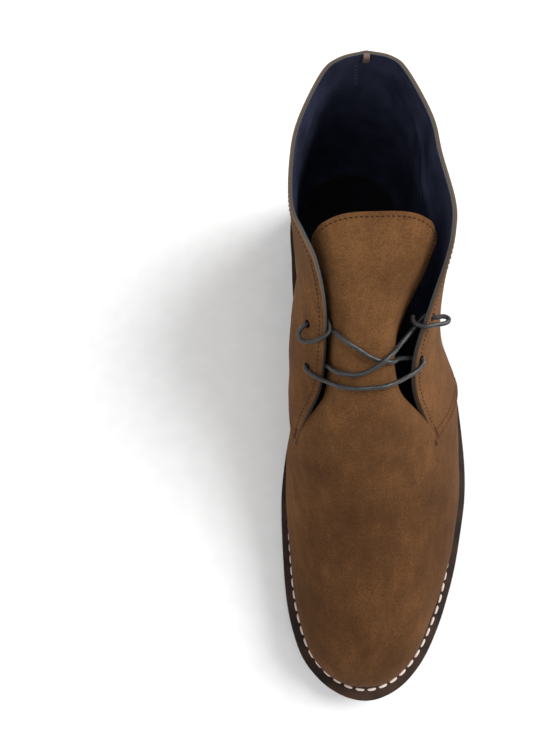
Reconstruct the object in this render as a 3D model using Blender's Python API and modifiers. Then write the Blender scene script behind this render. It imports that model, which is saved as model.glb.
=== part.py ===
"""Chukka boot, left foot, two pairs of punched lace holes, round cord lace.

Units are metres, +Z is up, the toe points along -Y and the outer side of the foot along +X.
The origin is on the floor under the middle of the sole's outline.
"""
import bpy
import bmesh
import numpy as np
from math import atan2, cos, pi, radians, sin
from mathutils import Vector

# Driving dimensions of the bottom
SOLE_LENGTH = 0.297
BALL_WIDTH = 0.104
HEEL_WIDTH = 0.069
SEAT_HEIGHT = 0.022
TOE_SPRING = 0.009
OUTSOLE_THICK = 0.005
WELT_THICK = 0.003
INSOLE_THICK = 0.0035
TOP_PIECE_THICK = 0.006

# Driving dimensions of the upper
SHAFT_HEIGHT = 0.0975
COLLAR_WIDTH = 0.066
INSTEP_RISE = 0.0715
WALL = 0.0020
OVERLAY = 0.0013
FEATHER_RISE = 0.003
TONGUE_THICK = 0.0022
TONGUE_CORNER = 0.0045
TONGUE_SEAT = 0.0024
HOLE_DIAMETER = 0.0040
HOLE_DEPTH = 0.012
LACE_DIAMETER = 0.0021
TAB_WIDTH = 0.0045
TAB_THICK = 0.0022
TAB_HEIGHT = 0.006
GAP = 0.0003

# Where the bottom changes along its length, as shares of the length from the heel
SHARE_BREAST = 0.245
SHARE_ARCH_END = 0.573
SHARE_SPRING_START = 0.75
SHARE_THROAT = 0.578

# Outline of the sole seen from above: share of the length from the heel,
# share of the local width outward (lateral positive), once round from the heel
OUTLINE = (
    (0.0000, 0.000), (0.0337, 0.354), (0.1150, 0.500), (0.2000, 0.504),
    (0.2670, 0.531), (0.3330, 0.576), (0.4000, 0.618), (0.4530, 0.627),
    (0.5170, 0.614), (0.5930, 0.601), (0.6630, 0.587), (0.7330, 0.546),
    (0.7870, 0.507), (0.8370, 0.457), (0.8870, 0.394), (0.9370, 0.308),
    (0.9730, 0.208), (0.9930, 0.106), (1.0000, 0.005), (0.9930, -0.100),
    (0.9730, -0.202), (0.9370, -0.294), (0.8870, -0.349), (0.8370, -0.377),
    (0.7700, -0.392), (0.7000, -0.400), (0.6500, -0.398), (0.5830, -0.376),
    (0.5000, -0.350), (0.4170, -0.361), (0.3330, -0.416), (0.2670, -0.475),
    (0.2000, -0.500), (0.1150, -0.500), (0.0337, -0.354),
)

# How far the last's bottom edge lies inside the sole's edge, in metres:
# share of the length, lateral, medial
MARGINS = (
    (0.00, 0.0060, 0.0060), (0.20, 0.0062, 0.0060), (0.40, 0.0075, 0.0062),
    (0.60, 0.0092, 0.0070), (0.75, 0.0090, 0.0080), (0.88, 0.0082, 0.0090),
    (1.00, 0.0095, 0.0095),
)

# Lines drawn up the quarters, from the back seam to the throat corner.
# foot: share of the bottom edge's length from the heel; back: distance of the top point from
# the heel as a share of the sole's length; lat, med: its distance from the middle as a share of
# the collar's width; rise: its height, 0 at the throat corner and 1 at the collar; out, up: the
# lower handle; fwd, side, drop: the upper handle, all as shares of the line's length
QUARTER = (
    # foot, back, lat, med, rise, out_lat, out_med, up, fwd, side_lat, side_med, drop
    (0.000, 0.0300, 0.000, 0.000, 1.000, 0.085, 0.085, 0.26, 0.050, 0.00, 0.00, 0.37),
    (0.041, 0.0400, 0.150, 0.165, 1.000, 0.080, 0.080, 0.26, 0.040, 0.00, 0.00, 0.37),
    (0.079, 0.0640, 0.245, 0.280, 1.000, 0.070, 0.065, 0.26, 0.025, 0.00, 0.00, 0.36),
    (0.158, 0.1400, 0.380, 0.432, 0.998, 0.065, 0.040, 0.26, 0.005, -0.02, 0.00, 0.35),
    (0.209, 0.2000, 0.420, 0.485, 0.994, 0.080, 0.030, 0.26, 0.000, -0.02, -0.01, 0.35),
    (0.272, 0.2730, 0.478, 0.490, 0.988, 0.095, 0.030, 0.26, 0.000, 0.00, -0.02, 0.34),
    (0.304, 0.3130, 0.472, 0.420, 0.968, 0.095, 0.050, 0.26, -0.020, 0.03, 0.00, 0.33),
    (0.329, 0.3470, 0.446, 0.345, 0.890, 0.090, 0.080, 0.25, -0.040, 0.06, 0.10, 0.33),
    (0.361, 0.3970, 0.386, 0.290, 0.690, 0.075, 0.100, 0.24, -0.060, 0.12, 0.24, 0.28),
    (0.392, 0.4570, 0.322, 0.294, 0.455, 0.075, 0.125, 0.22, -0.080, 0.20, 0.32, 0.22),
    (0.418, 0.5000, 0.340, 0.325, 0.290, 0.090, 0.130, 0.22, -0.100, 0.24, 0.30, 0.19),
    (0.437, 0.5400, 0.425, 0.415, 0.140, 0.110, 0.130, 0.23, -0.150, 0.24, 0.20, 0.19),
    (0.456, 0.5780, 0.530, 0.478, 0.000, 0.120, 0.122, 0.24, -0.200, 0.23, 0.08, 0.18),
)

# Lines drawn up to the ridge of the vamp, from the throat line to the toe. Here lat, med are
# shares of the ball's width, and rise is a share of the instep's rise over the bottom edge
RIDGE = (
    (0.590, 0.5780, 0.0170, -0.017, 1.000, 0.070, 0.118, 0.26, 0.000, 0.21, 0.47, 0.00),
    (0.650, 0.6280, 0.0170, -0.017, 0.885, 0.080, 0.125, 0.25, 0.020, 0.27, 0.44, 0.01),
    (0.725, 0.6900, 0.0170, -0.017, 0.762, 0.082, 0.125, 0.25, 0.050, 0.34, 0.42, 0.02),
    (0.795, 0.7520, 0.0170, -0.017, 0.662, 0.078, 0.135, 0.26, 0.080, 0.38, 0.41, 0.02),
    (0.855, 0.8080, 0.0150, -0.015, 0.590, 0.060, 0.140, 0.30, 0.140, 0.39, 0.40, 0.04),
    (0.905, 0.8380, 0.0110, -0.011, 0.553, 0.050, 0.130, 0.33, 0.300, 0.38, 0.38, 0.10),
    (0.945, 0.8560, 0.0080, -0.008, 0.531, 0.040, 0.100, 0.34, 0.360, 0.30, 0.31, 0.14),
    (0.975, 0.8660, 0.0060, -0.006, 0.519, 0.000, 0.030, 0.36, 0.420, 0.16, 0.17, 0.17),
    (1.000, 0.8700, 0.0050, -0.005, 0.514, -0.050, -0.050, 0.37, 0.450, 0.00, 0.00, 0.18),
)

# Where the throat corner lies on the first of those lines, from its foot to the ridge
SHARE_CORNER = 0.55

# The tongue from the throat line to its top edge: distance from the heel as a share of the
# length, height of its middle as a share between instep and collar, half width and fall of its
# sides as shares of the collar's width, middle's offset, roundness of the section
TONGUE = (
    (0.5780, 0.000, 0.430, 0.200, 0.026, 2.0),
    (0.5520, 0.100, 0.350, 0.235, 0.012, 2.2),
    (0.5260, 0.195, 0.285, 0.250, -0.006, 2.5),
    (0.4970, 0.295, 0.230, 0.270, -0.020, 4.0),
    (0.4600, 0.410, 0.215, 0.300, -0.027, 5.0),
    (0.4200, 0.540, 0.220, 0.300, -0.024, 5.0),
    (0.3790, 0.680, 0.265, 0.240, -0.006, 5.0),
    (0.3400, 0.815, 0.335, 0.150, 0.014, 4.4),
    (0.3060, 0.928, 0.378, 0.080, 0.020, 3.6),
    (0.2870, 0.993, 0.384, 0.060, 0.022, 3.0),
)

# Lace holes: name, side (0 lateral, 1 medial), place along QUARTER, place up that line
EYELETS = (
    ("lateral_low", 0, 9.1, 0.94), ("lateral_high", 0, 8.2, 0.92),
    ("medial_low", 1, 9.3, 0.885), ("medial_high", 1, 8.3, 0.87),
)

# The lace's stretches as points of their middle lines, in the boot's own frame
LACE_BAR = (
    (-0.0381, 0.0090, 0.0826), (-0.0350, 0.0054, 0.0844), (-0.0311, 0.0029, 0.0858),
    (-0.0272, 0.0004, 0.0893), (-0.0232, -0.0023, 0.0941), (-0.0168, -0.0038, 0.0966),
    (-0.0102, -0.0034, 0.0961), (-0.0039, -0.0026, 0.0957), (0.0021, 0.0000, 0.0932),
    (0.0070, 0.0031, 0.0896), (0.0112, 0.0057, 0.0882), (0.0137, 0.0081, 0.0877),
    (0.0152, 0.0104, 0.0869),
)
LACE_UNDER = (
    (-0.0252, 0.0203, 0.1020), (-0.0239, 0.0175, 0.1043), (-0.0195, 0.0140, 0.1048),
    (-0.0152, 0.0114, 0.1038), (-0.0118, 0.0093, 0.1027), (-0.0067, 0.0074, 0.1013),
    (-0.0010, 0.0073, 0.0997), (0.0023, 0.0100, 0.0941), (0.0054, 0.0115, 0.0896),
    (0.0086, 0.0124, 0.0864),
)
LACE_OVER = (
    (-0.0282, 0.0084, 0.0890), (-0.0263, 0.0053, 0.0936), (-0.0229, 0.0031, 0.0969),
    (-0.0187, 0.0021, 0.0982), (-0.0156, 0.0019, 0.0989), (-0.0125, 0.0026, 0.0999),
    (-0.0095, 0.0039, 0.1013), (-0.0069, 0.0054, 0.1022), (-0.0042, 0.0076, 0.1023),
    (-0.0007, 0.0109, 0.1014), (0.0028, 0.0154, 0.0986), (0.0064, 0.0196, 0.0970),
    (0.0094, 0.0232, 0.0966),
)
LACE_LOOP_MEDIAL = (
    (-0.0303, 0.0299, 0.0969), (-0.0286, 0.0273, 0.0987), (-0.0277, 0.0247, 0.0996),
    (-0.0275, 0.0219, 0.0992), (-0.0289, 0.0200, 0.0994), (-0.0308, 0.0187, 0.0993),
    (-0.0328, 0.0184, 0.0969), (-0.0354, 0.0184, 0.0944), (-0.0380, 0.0189, 0.0922),
    (-0.0400, 0.0201, 0.0909), (-0.0413, 0.0221, 0.0907), (-0.0411, 0.0240, 0.0919),
    (-0.0396, 0.0253, 0.0933),
)
LACE_LOOP_LATERAL = (
    (0.0089, 0.0281, 0.0990), (0.0085, 0.0259, 0.0996), (0.0095, 0.0239, 0.1004),
    (0.0113, 0.0231, 0.1011), (0.0135, 0.0220, 0.1022), (0.0169, 0.0230, 0.1016),
    (0.0203, 0.0236, 0.1008), (0.0231, 0.0244, 0.1002), (0.0245, 0.0258, 0.0997),
    (0.0238, 0.0274, 0.0991), (0.0214, 0.0280, 0.0987),
)

CURVE_STEPS = 30
COLUMNS_PER_ROW = 2
WALL_ROWS = 16
CORNER_ROW = 9
SEAM_STEP = 0.2
WING_COLUMNS = 5
PLATE_ROWS = 44
PLATE_COLUMNS = 4
HEEL_ROWS = 20
WELT_STRIDE = 10
TONGUE_COLUMNS = 10
TONGUE_STEPS = 2


def smooth_rows(rows, at):
    """Value of each column of a table at a place between its rows, on a smooth curve."""
    table = np.array(rows, dtype=float)
    last = len(table) - 1
    at = min(max(at, 0.0), float(last))
    low = min(int(at), last - 1)
    t = at - low
    before = table[max(low - 1, 0)]
    start = table[low]
    end = table[low + 1]
    after = table[min(low + 2, last)]
    slope_start = (end - before) / 2 if low else end - start
    slope_end = (after - start) / 2 if low + 1 < last else end - start
    return ((2 * t**3 - 3 * t**2 + 1) * start + (t**3 - 2 * t**2 + t) * slope_start
            + (3 * t**2 - 2 * t**3) * end + (t**3 - t**2) * slope_end)


def smooth_step(low, high, value):
    t = min(max((value - low) / (high - low), 0.0), 1.0)
    return t * t * (3 - 2 * t)


def bottom_height(s):
    """Height of the outsole's underside at distance s from the heel."""
    share = s / SOLE_LENGTH
    arch = SEAT_HEIGHT * (1 - smooth_step(SHARE_BREAST, SHARE_ARCH_END, share))
    spring = max(share - SHARE_SPRING_START, 0) / (1 - SHARE_SPRING_START)
    return arch + TOE_SPRING * spring**2


def welt_top(s):
    return bottom_height(s) + OUTSOLE_THICK + GAP + WELT_THICK


def feather_height(s):
    return welt_top(s) + GAP


def local_width(share):
    return HEEL_WIDTH + (BALL_WIDTH - HEEL_WIDTH) * smooth_step(0.2, 0.6, share)


def closed_curve(points):
    """Points of a smooth closed curve through the given points."""
    count = len(points)
    dense = []
    for i in range(count):
        before, start, end, after = (points[(i + k - 1) % count] for k in range(4))
        for t in np.linspace(0, 1, CURVE_STEPS, endpoint=False):
            slope_start = (end - before) * np.linalg.norm(end - start) / (
                np.linalg.norm(start - before) + np.linalg.norm(end - start))
            slope_end = (after - start) * np.linalg.norm(end - start) / (
                np.linalg.norm(after - end) + np.linalg.norm(end - start))
            dense.append((2 * t**3 - 3 * t**2 + 1) * start + (t**3 - 2 * t**2 + t) * slope_start
                         + (3 * t**2 - 2 * t**3) * end + (t**3 - t**2) * slope_end)
    return np.array(dense)


def sole_outline():
    """The sole's edge as points (distance from the heel, distance outward)."""
    points = [np.array((share * SOLE_LENGTH, width * local_width(share)))
              for share, width in OUTLINE]
    curve = closed_curve(points)
    lengths = curve[:, 0]
    curve[:, 0] = (lengths - lengths.min()) * SOLE_LENGTH / (lengths.max() - lengths.min())
    return curve


EDGE = sole_outline()
MIDDLE_X = (EDGE[:, 1].max() + EDGE[:, 1].min()) / 2


def inset_outline(extra=0.0, scale=1.0):
    """The sole's edge moved inward by its local margin times scale, plus extra."""
    tangent = np.roll(EDGE, -1, axis=0) - np.roll(EDGE, 1, axis=0)
    tangent /= np.linalg.norm(tangent, axis=1)[:, None]
    inward = np.stack((tangent[:, 1], -tangent[:, 0]), axis=1)
    shares = EDGE[:, 0] / SOLE_LENGTH
    table = np.array(MARGINS)
    lateral = np.interp(shares, table[:, 0], table[:, 1])
    medial = np.interp(shares, table[:, 0], table[:, 2])
    margin = np.where(EDGE[:, 1] > 0, lateral, medial)
    return EDGE + inward * (margin * scale + extra)[:, None]


def side_lines(curve):
    """A closed outline split into its lateral and medial lines, each from heel to toe."""
    heel = int(np.argmin(curve[:, 0]))
    turned = np.roll(curve, -heel, axis=0)
    toe = int(np.argmax(turned[:, 0]))
    lateral = turned[:toe + 1]
    medial = np.vstack((turned[toe:], turned[:1]))[::-1]
    return lateral, medial


def along(line, share):
    """Point of a line at a share of its length."""
    steps = np.linalg.norm(np.diff(line, axis=0), axis=1)
    walked = np.concatenate(((0,), np.cumsum(steps)))
    target = share * walked[-1]
    return np.array((np.interp(target, walked, line[:, 0]), np.interp(target, walked, line[:, 1])))


FEATHER = side_lines(inset_outline())


def on_feather(side, share):
    """Point of the last's bottom edge, also a little past the heel or the toe."""
    if share < 0:
        return along(FEATHER[1 - side], -share)
    if share > 1:
        return along(FEATHER[1 - side], 2 - share)
    return along(FEATHER[side], share)


def world(s, x, z):
    return Vector((x - MIDDLE_X, SOLE_LENGTH / 2 - s, z))


def line_points(rows, index, side):
    """Five points (s, x, z) of a line drawn up the last: foot, top of the rise, two handles, top."""
    (foot, back, lat, med, rise, out_lat, out_med, up, fwd, side_lat, side_med,
     drop) = smooth_rows(rows, index)
    sign = 1 - 2 * side
    base, outward = foot_point(side, foot)
    start = base + np.array((0, 0, FEATHER_RISE))
    width = (lat, med)[side] * sign
    s_top = back * SOLE_LENGTH
    if rows is QUARTER:
        corner = corner_point(side)
        level = corner[2] + rise * (feather_height(0) + SHAFT_HEIGHT - corner[2])
        landing = corner[1] - (QUARTER[-1][2], QUARTER[-1][3])[side] * sign * COLLAR_WIDTH
        top = np.array((s_top, width * COLLAR_WIDTH + landing * (1 - rise), level))
    else:
        top = np.array((s_top, width * BALL_WIDTH, feather_height(s_top) + rise * INSTEP_RISE))
    chord = np.linalg.norm(top - start)
    low = start + chord * np.array((*((out_lat, out_med)[side] * outward), up))
    high = top + chord * np.array((fwd, (side_lat, side_med)[side] * sign, -drop))
    return np.array((base, start, low, high, top))


def foot_point(side, foot):
    """Point of the last's bottom edge at a share of its length, and the way outward from it."""
    seat = on_feather(side, foot)
    tangent = on_feather(side, foot + 0.01) - on_feather(side, foot - 0.01)
    tangent /= np.linalg.norm(tangent)
    outward = np.array((-tangent[1], tangent[0])) * (1 - 2 * side)
    beyond = seat[0] + outward[0] * (WALL + OVERLAY)
    height = max(feather_height(seat[0]), feather_height(beyond))
    return np.array((seat[0], seat[1], height)), outward


def lower_arch(side):
    """The throat arch from its foot to the corner, as five points like those of a line."""
    base, a, b, c, d = line_points(RIDGE, 0, side)
    t = SHARE_CORNER
    ab, bc, cd = (first + (second - first) * t for first, second in ((a, b), (b, c), (c, d)))
    abc = ab + (bc - ab) * t
    bcd = bc + (cd - bc) * t
    return np.array((base, a, ab, abc, abc + (bcd - abc) * t))


def corner_point(side):
    return lower_arch(side)[4]


def wing_points(share, side):
    """A line of the vamp under the quarter's edge, from the seam to the throat arch."""
    seam = line_points(QUARTER, len(QUARTER) - 1, side)
    arch = lower_arch(side)
    foot = QUARTER[-1][0] + share * (RIDGE[0][0] - QUARTER[-1][0])
    base, _ = foot_point(side, foot)
    corner = arch[4]
    low = base + (seam[2] - seam[0]) * (1 - share) + (arch[2] - arch[0]) * share
    high = corner + (seam[3] - corner) * (1 - share) + (arch[3] - corner) * share
    return np.array((base, base + (0, 0, FEATHER_RISE), low, high, corner))


def on_line(points, t):
    """Point of a line at t from the top of the rise to the line's top."""
    _, a, b, c, d = points
    return (1 - t)**3 * a + 3 * (1 - t)**2 * t * b + 3 * (1 - t) * t**2 * c + t**3 * d


def bent_grid(name, columns, rows, place, weight=None):
    """A grid of columns by rows whose vertices are moved to place(column, row)."""
    mesh = bpy.data.meshes.new(name)
    bm = bmesh.new()
    bmesh.ops.create_grid(bm, x_segments=columns, y_segments=rows, size=1.0)
    group = bm.verts.layers.deform.verify()
    for vertex in bm.verts:
        column = round((vertex.co.x + 1) / 2 * columns)
        row = round((vertex.co.y + 1) / 2 * rows)
        vertex.co = place(column, row)
        if weight:
            vertex[group][0] = weight(column)
    bmesh.ops.remove_doubles(bm, verts=bm.verts, dist=1e-6)
    return mesh, bm


def face_outward(bm, inside):
    """Turns an open sheet so that its faces look away from a point inside."""
    bm.normal_update()
    looks = sum(face.normal.dot(face.calc_center_median() - inside) * face.calc_area()
                for face in bm.faces)
    if looks < 0:
        bmesh.ops.reverse_faces(bm, faces=bm.faces)


def finish_object(name, mesh, bm, material, parts, sharp=35):
    bm.to_mesh(mesh)
    bm.free()
    mesh.shade_smooth()
    mesh.set_sharp_from_angle(angle=radians(sharp))
    mesh.materials.append(material)
    obj = bpy.data.objects.new(name, mesh)
    parts.objects.link(obj)
    return obj


def make_material(name, hex_colour, roughness):
    """A Principled material with an sRGB colour written as hex."""
    material = bpy.data.materials.new(name)
    material.use_nodes = True
    shader = material.node_tree.nodes["Principled BSDF"]
    channels = [int(hex_colour[i:i + 2], 16) / 255 for i in (0, 2, 4)]
    linear = [c / 12.92 if c <= 0.04045 else ((c + 0.055) / 1.055)**2.4 for c in channels]
    shader.inputs["Base Color"].default_value = (*linear, 1.0)
    shader.inputs["Roughness"].default_value = roughness
    shader.inputs["Metallic"].default_value = 0.0
    return material


def plate(name, outline, end, underside, thickness, material, parts):
    """A layer of the bottom inside an outline, from the heel to the distance end or the toe."""
    lateral, medial = side_lines(outline)
    start = lateral[0, 0]
    whole = end is None
    stop = lateral[-1, 0] if whole else end
    rows = PLATE_ROWS if whole else HEEL_ROWS

    def place(column, row):
        turn = np.pi * row / rows
        share = (1 - cos(turn)) / 2 if whole else 1 - cos(turn / 2)
        s = start + (stop - start) * share
        outer = np.interp(s, lateral[:, 0], lateral[:, 1])
        inner = np.interp(s, medial[:, 0], medial[:, 1])
        x = inner + (outer - inner) * column / PLATE_COLUMNS
        return world(s, x, underside(s))

    mesh, bm = bent_grid(name, PLATE_COLUMNS, rows, place)
    grown = bmesh.ops.extrude_face_region(bm, geom=bm.faces[:])["geom"]
    top = [item for item in grown if isinstance(item, bmesh.types.BMVert)]
    bmesh.ops.translate(bm, verts=top, vec=(0, 0, thickness))
    bmesh.ops.recalc_face_normals(bm, faces=bm.faces)
    return finish_object(name, mesh, bm, material, parts)


def build_outsole(parts):
    leather = make_material("sole leather", "2A1A14", 0.45)
    return plate("outsole", EDGE, None, bottom_height, OUTSOLE_THICK, leather, parts)


def build_heel(parts):
    leather = make_material("stacked heel leather", "2A1A14", 0.5)
    rubber = make_material("heel rubber", "141313", 0.7)
    breast = (SHARE_BREAST - 0.005) * SOLE_LENGTH
    inset = inset_outline(0.0, 0.12)
    block_base = TOP_PIECE_THICK + GAP
    block = plate("heel_block", inset, breast, lambda s: block_base,
                  SEAT_HEIGHT - GAP - block_base, leather, parts)
    piece = plate("heel_top_piece", inset, breast, lambda s: 0.0, TOP_PIECE_THICK, rubber, parts)
    return block, piece


def build_insole(parts):
    sock = make_material("sock leather", "0E0F16", 0.5)
    outline = inset_outline(2.5 * GAP)
    return plate("insole", outline, None, lambda s: bottom_height(s) + OUTSOLE_THICK + GAP,
                 INSOLE_THICK, sock, parts)


def build_welt(parts):
    """A strip round the upper, from the sole's edge in to the last's bottom edge."""
    leather = make_material("welt leather", "3A251C", 0.5)
    inner = inset_outline()
    count = len(EDGE)
    columns = count // WELT_STRIDE

    def place(column, row):
        index = column * WELT_STRIDE % count
        s, x = EDGE[index] if row else inner[index]
        return world(s, x, bottom_height(s) + OUTSOLE_THICK + GAP)

    mesh, bm = bent_grid("welt", columns, 1, place)
    grown = bmesh.ops.extrude_face_region(bm, geom=bm.faces[:])["geom"]
    top = [item for item in grown if isinstance(item, bmesh.types.BMVert)]
    bmesh.ops.translate(bm, verts=top, vec=(0, 0, WELT_THICK))
    bmesh.ops.recalc_face_normals(bm, faces=bm.faces)
    return finish_object("welt", mesh, bm, leather, parts)


def quarter_place(index, row):
    """How far up its line a row lies: evenly, but below the corner's row at the seam."""
    seam = len(QUARTER) - 1
    even = (row - 1) / (WALL_ROWS - 1)
    crowded = min((row - 1) / (CORNER_ROW - 1), 1.0)
    blend = smooth_step(seam - 5, seam - SEAM_STEP, index)
    return even + (crowded - even) * blend


def arch_place(row):
    if row <= CORNER_ROW:
        return SHARE_CORNER * (row - 1) / (CORNER_ROW - 1)
    return SHARE_CORNER + (1 - SHARE_CORNER) * (row - CORNER_ROW) / (WALL_ROWS - CORNER_ROW)


def wall_columns():
    """Points and overlay of every line of the upper, once round from the back seam."""
    seam = len(QUARTER) - 1
    rows = range(1, WALL_ROWS + 1)

    def column(points, places, over):
        return [points[0]] + [on_line(points, place) for place in places], over

    sides = []
    for side in (0, 1):
        columns = []
        stations = [k / COLUMNS_PER_ROW for k in range(seam * COLUMNS_PER_ROW)]
        for index in stations + [seam - SEAM_STEP]:
            over = smooth_step(seam - 4, seam - 0.4, index)
            places = [quarter_place(index, row) for row in rows]
            columns.append(column(line_points(QUARTER, index, side), places, over))
        for k in range(WING_COLUMNS):
            places = [quarter_place(seam, row) for row in rows]
            columns.append(column(wing_points(k / WING_COLUMNS, side), places, 0.0))
        for k in range((len(RIDGE) - 1) * COLUMNS_PER_ROW + 1):
            points = line_points(RIDGE, k / COLUMNS_PER_ROW, side)
            columns.append(column(points, [arch_place(row) for row in rows], 0.0))
        sides.append(columns)
    return sides[0] + sides[1][-2::-1]


def wall_place(side, index, place):
    """Point of a quarter's inner face and the way outward from it, in the boot's frame."""
    step = 0.02
    before, after = (on_line(line_points(QUARTER, index + way, side), place)
                     for way in (-step, step))
    below, above = (on_line(line_points(QUARTER, index, side), place + way)
                    for way in (-step, step))
    forward = world(*after) - world(*before)
    upward = world(*above) - world(*below)
    outward = forward.cross(upward).normalized()
    if outward.x * (1 - 2 * side) < 0:
        outward.negate()
    return world(*on_line(line_points(QUARTER, index, side), place)), outward


def cut_eyelets(upper, cutters):
    for name, side, index, place in EYELETS:
        point, outward = wall_place(side, index, place)
        mesh = bpy.data.meshes.new("hole_" + name)
        bm = bmesh.new()
        bmesh.ops.create_cone(bm, cap_ends=True, segments=16, radius1=HOLE_DIAMETER / 2,
                              radius2=HOLE_DIAMETER / 2, depth=HOLE_DEPTH)
        bm.to_mesh(mesh)
        bm.free()
        cutter = bpy.data.objects.new("hole_" + name, mesh)
        cutter.location = point + outward * WALL / 2
        cutter.rotation_mode = "QUATERNION"
        cutter.rotation_quaternion = outward.to_track_quat("Z", "Y")
        add_cutter(upper, cutter, "DIFFERENCE", cutters)


def add_cutter(obj, cutter, operation, cutters):
    cutter.hide_render = True
    cutter.display_type = "WIRE"
    cutters.objects.link(cutter)
    boolean = obj.modifiers.new(cutter.name, "BOOLEAN")
    boolean.operation = operation
    boolean.solver = "EXACT"
    boolean.object = cutter


def build_upper(parts, cutters):
    """Vamp and quarters as one wall, grown outward from the last."""
    suede = make_material("suede", "6E4A2C", 0.95)
    columns = wall_columns()

    def place(column, row):
        return world(*columns[column][0][row])

    mesh, bm = bent_grid("upper", len(columns) - 1, WALL_ROWS, place,
                         lambda column: columns[column][1])
    face_outward(bm, world(0.5 * SOLE_LENGTH, 0, 0.5 * INSTEP_RISE))
    obj = finish_object("upper", mesh, bm, suede, parts)
    obj.vertex_groups.new(name="overlay")
    wall = obj.modifiers.new("wall", "SOLIDIFY")
    wall.thickness = WALL + OVERLAY
    wall.offset = 1.0
    wall.vertex_group = "overlay"
    wall.thickness_vertex_group = WALL / (WALL + OVERLAY)
    cut_eyelets(obj, cutters)
    return obj


def arch_at(x):
    """Distance from the heel and height of the throat arch at a place across the boot."""
    points = line_points(RIDGE, 0, 0 if x > RIDGE[0][2] * BALL_WIDTH else 1)
    sampled = np.array([on_line(points, t) for t in np.linspace(0, 1, 60)])
    order = np.argsort(sampled[:, 1])
    return (np.interp(x, sampled[order, 1], sampled[order, 0]),
            np.interp(x, sampled[order, 1], sampled[order, 2]))


def tongue_point(row, across):
    """Point (s, x, z) of the tongue's underside at a table row and a place from -1 to 1."""
    back, rise, half, fall, offset, power = smooth_rows(TONGUE, row)
    low = feather_height(SHARE_THROAT * SOLE_LENGTH) + INSTEP_RISE
    high = feather_height(0) + SHAFT_HEIGHT
    corner = smooth_step(len(TONGUE) - 3, len(TONGUE) - 1, row) * TONGUE_CORNER
    x = (offset + half * across) * COLLAR_WIDTH
    section = fall * COLLAR_WIDTH * abs(across)**power
    arch_s, arch_z = arch_at(x)
    joined = 1 - smooth_step(0, 3, row)
    s = back * SOLE_LENGTH + (arch_s - SHARE_THROAT * SOLE_LENGTH) * joined
    z = low + rise * (high - low) - section + (arch_z - low + section) * joined
    return s + corner * across**4 - TONGUE_SEAT * joined, x, z - corner * across**4


def build_tongue(parts):
    suede = make_material("tongue suede", "7C5433", 0.95)

    def place(column, row):
        across = sin(pi / 2 * (2 * column / TONGUE_COLUMNS - 1))
        return world(*tongue_point(row / TONGUE_STEPS, across))

    mesh, bm = bent_grid("tongue", TONGUE_COLUMNS, (len(TONGUE) - 1) * TONGUE_STEPS, place)
    face_outward(bm, world(0.45 * SOLE_LENGTH, 0, 0))
    obj = finish_object("tongue", mesh, bm, suede, parts)
    layer = obj.modifiers.new("thickness", "SOLIDIFY")
    layer.thickness = TONGUE_THICK
    layer.offset = 1.0
    layer.use_even_offset = True
    return obj


def build_tab(parts):
    """The small folded tab against the inside of the collar, at its back."""
    leather = make_material("tab leather", "8A5F4C", 0.6)
    line = line_points(QUARTER, 0, 0)
    top = world(*line[4])
    upward = (top - world(*line[3])).normalized()
    tilt = atan2(upward.y, upward.z)
    mesh = bpy.data.meshes.new("back_tab")
    bm = bmesh.new()
    bmesh.ops.create_cube(bm, size=1.0)
    bmesh.ops.scale(bm, verts=bm.verts, vec=(TAB_WIDTH, TAB_THICK, TAB_HEIGHT))
    bmesh.ops.bevel(bm, geom=bm.edges[:], offset=TAB_THICK / 4, segments=2, affect="EDGES")
    obj = finish_object("back_tab", mesh, bm, leather, parts)
    inward = Vector((0, -upward.z, upward.y))
    obj.location = top - upward * TAB_HEIGHT / 3 + inward * (TAB_THICK / 2 + 2.5 * GAP)
    obj.rotation_euler = (-tilt, 0, 0)
    return obj


def lace_stretch(name, points, material):
    """A round cord along the points."""
    curve = bpy.data.curves.new(name, "CURVE")
    curve.dimensions = "3D"
    spline = curve.splines.new("POLY")
    spline.points.add(len(points) - 1)
    for point, place in zip(spline.points, points):
        point.co = (*place, 1.0)
    curve.bevel_depth = LACE_DIAMETER / 2
    curve.bevel_resolution = 2
    curve.use_fill_caps = True
    curve.materials.append(material)
    return bpy.data.objects.new(name, curve)


def strand_mesh(name, points, material):
    """The same cord as a closed mesh, for a piece that is joined from two."""
    curve = lace_stretch(name + "_line", points, material)
    mesh = bpy.data.meshes.new_from_object(curve)
    bpy.data.objects.remove(curve, do_unlink=True)
    bm = bmesh.new()
    bm.from_mesh(mesh)
    bmesh.ops.remove_doubles(bm, verts=bm.verts, dist=1e-6)
    bmesh.ops.recalc_face_normals(bm, faces=bm.faces)
    bm.to_mesh(mesh)
    bm.free()
    return bpy.data.objects.new(name, mesh)


def build_lace(parts, cutters):
    waxed = make_material("waxed cord", "3C3C3E", 0.5)
    for name, points in (("lace_bar", LACE_BAR), ("lace_loop_medial", LACE_LOOP_MEDIAL),
                         ("lace_loop_lateral", LACE_LOOP_LATERAL)):
        parts.objects.link(lace_stretch(name, points, waxed))
    crossing = strand_mesh("lace_crossing", LACE_UNDER, waxed)
    parts.objects.link(crossing)
    add_cutter(crossing, strand_mesh("upper_strand", LACE_OVER, waxed), "UNION", cutters)


def main():
    for obj in list(bpy.data.objects):
        bpy.data.objects.remove(obj, do_unlink=True)
    parts = bpy.data.collections.new("chukka boot")
    cutters = bpy.data.collections.new("cutters")
    bpy.context.scene.collection.children.link(parts)
    bpy.context.scene.collection.children.link(cutters)
    build_outsole(parts)
    build_heel(parts)
    build_insole(parts)
    build_welt(parts)
    build_upper(parts, cutters)
    build_tongue(parts)
    build_tab(parts)
    build_lace(parts, cutters)


main()
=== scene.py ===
"""Looks of the chukka boot: suede upper over a dark leather lining, round cord lace run through
four punched holes, stitched welt, leather sole, and a plain pale studio around it.

Units are metres, +Z is up, the toe points along -Y and the outer side of the foot along +X.
"""

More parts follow.
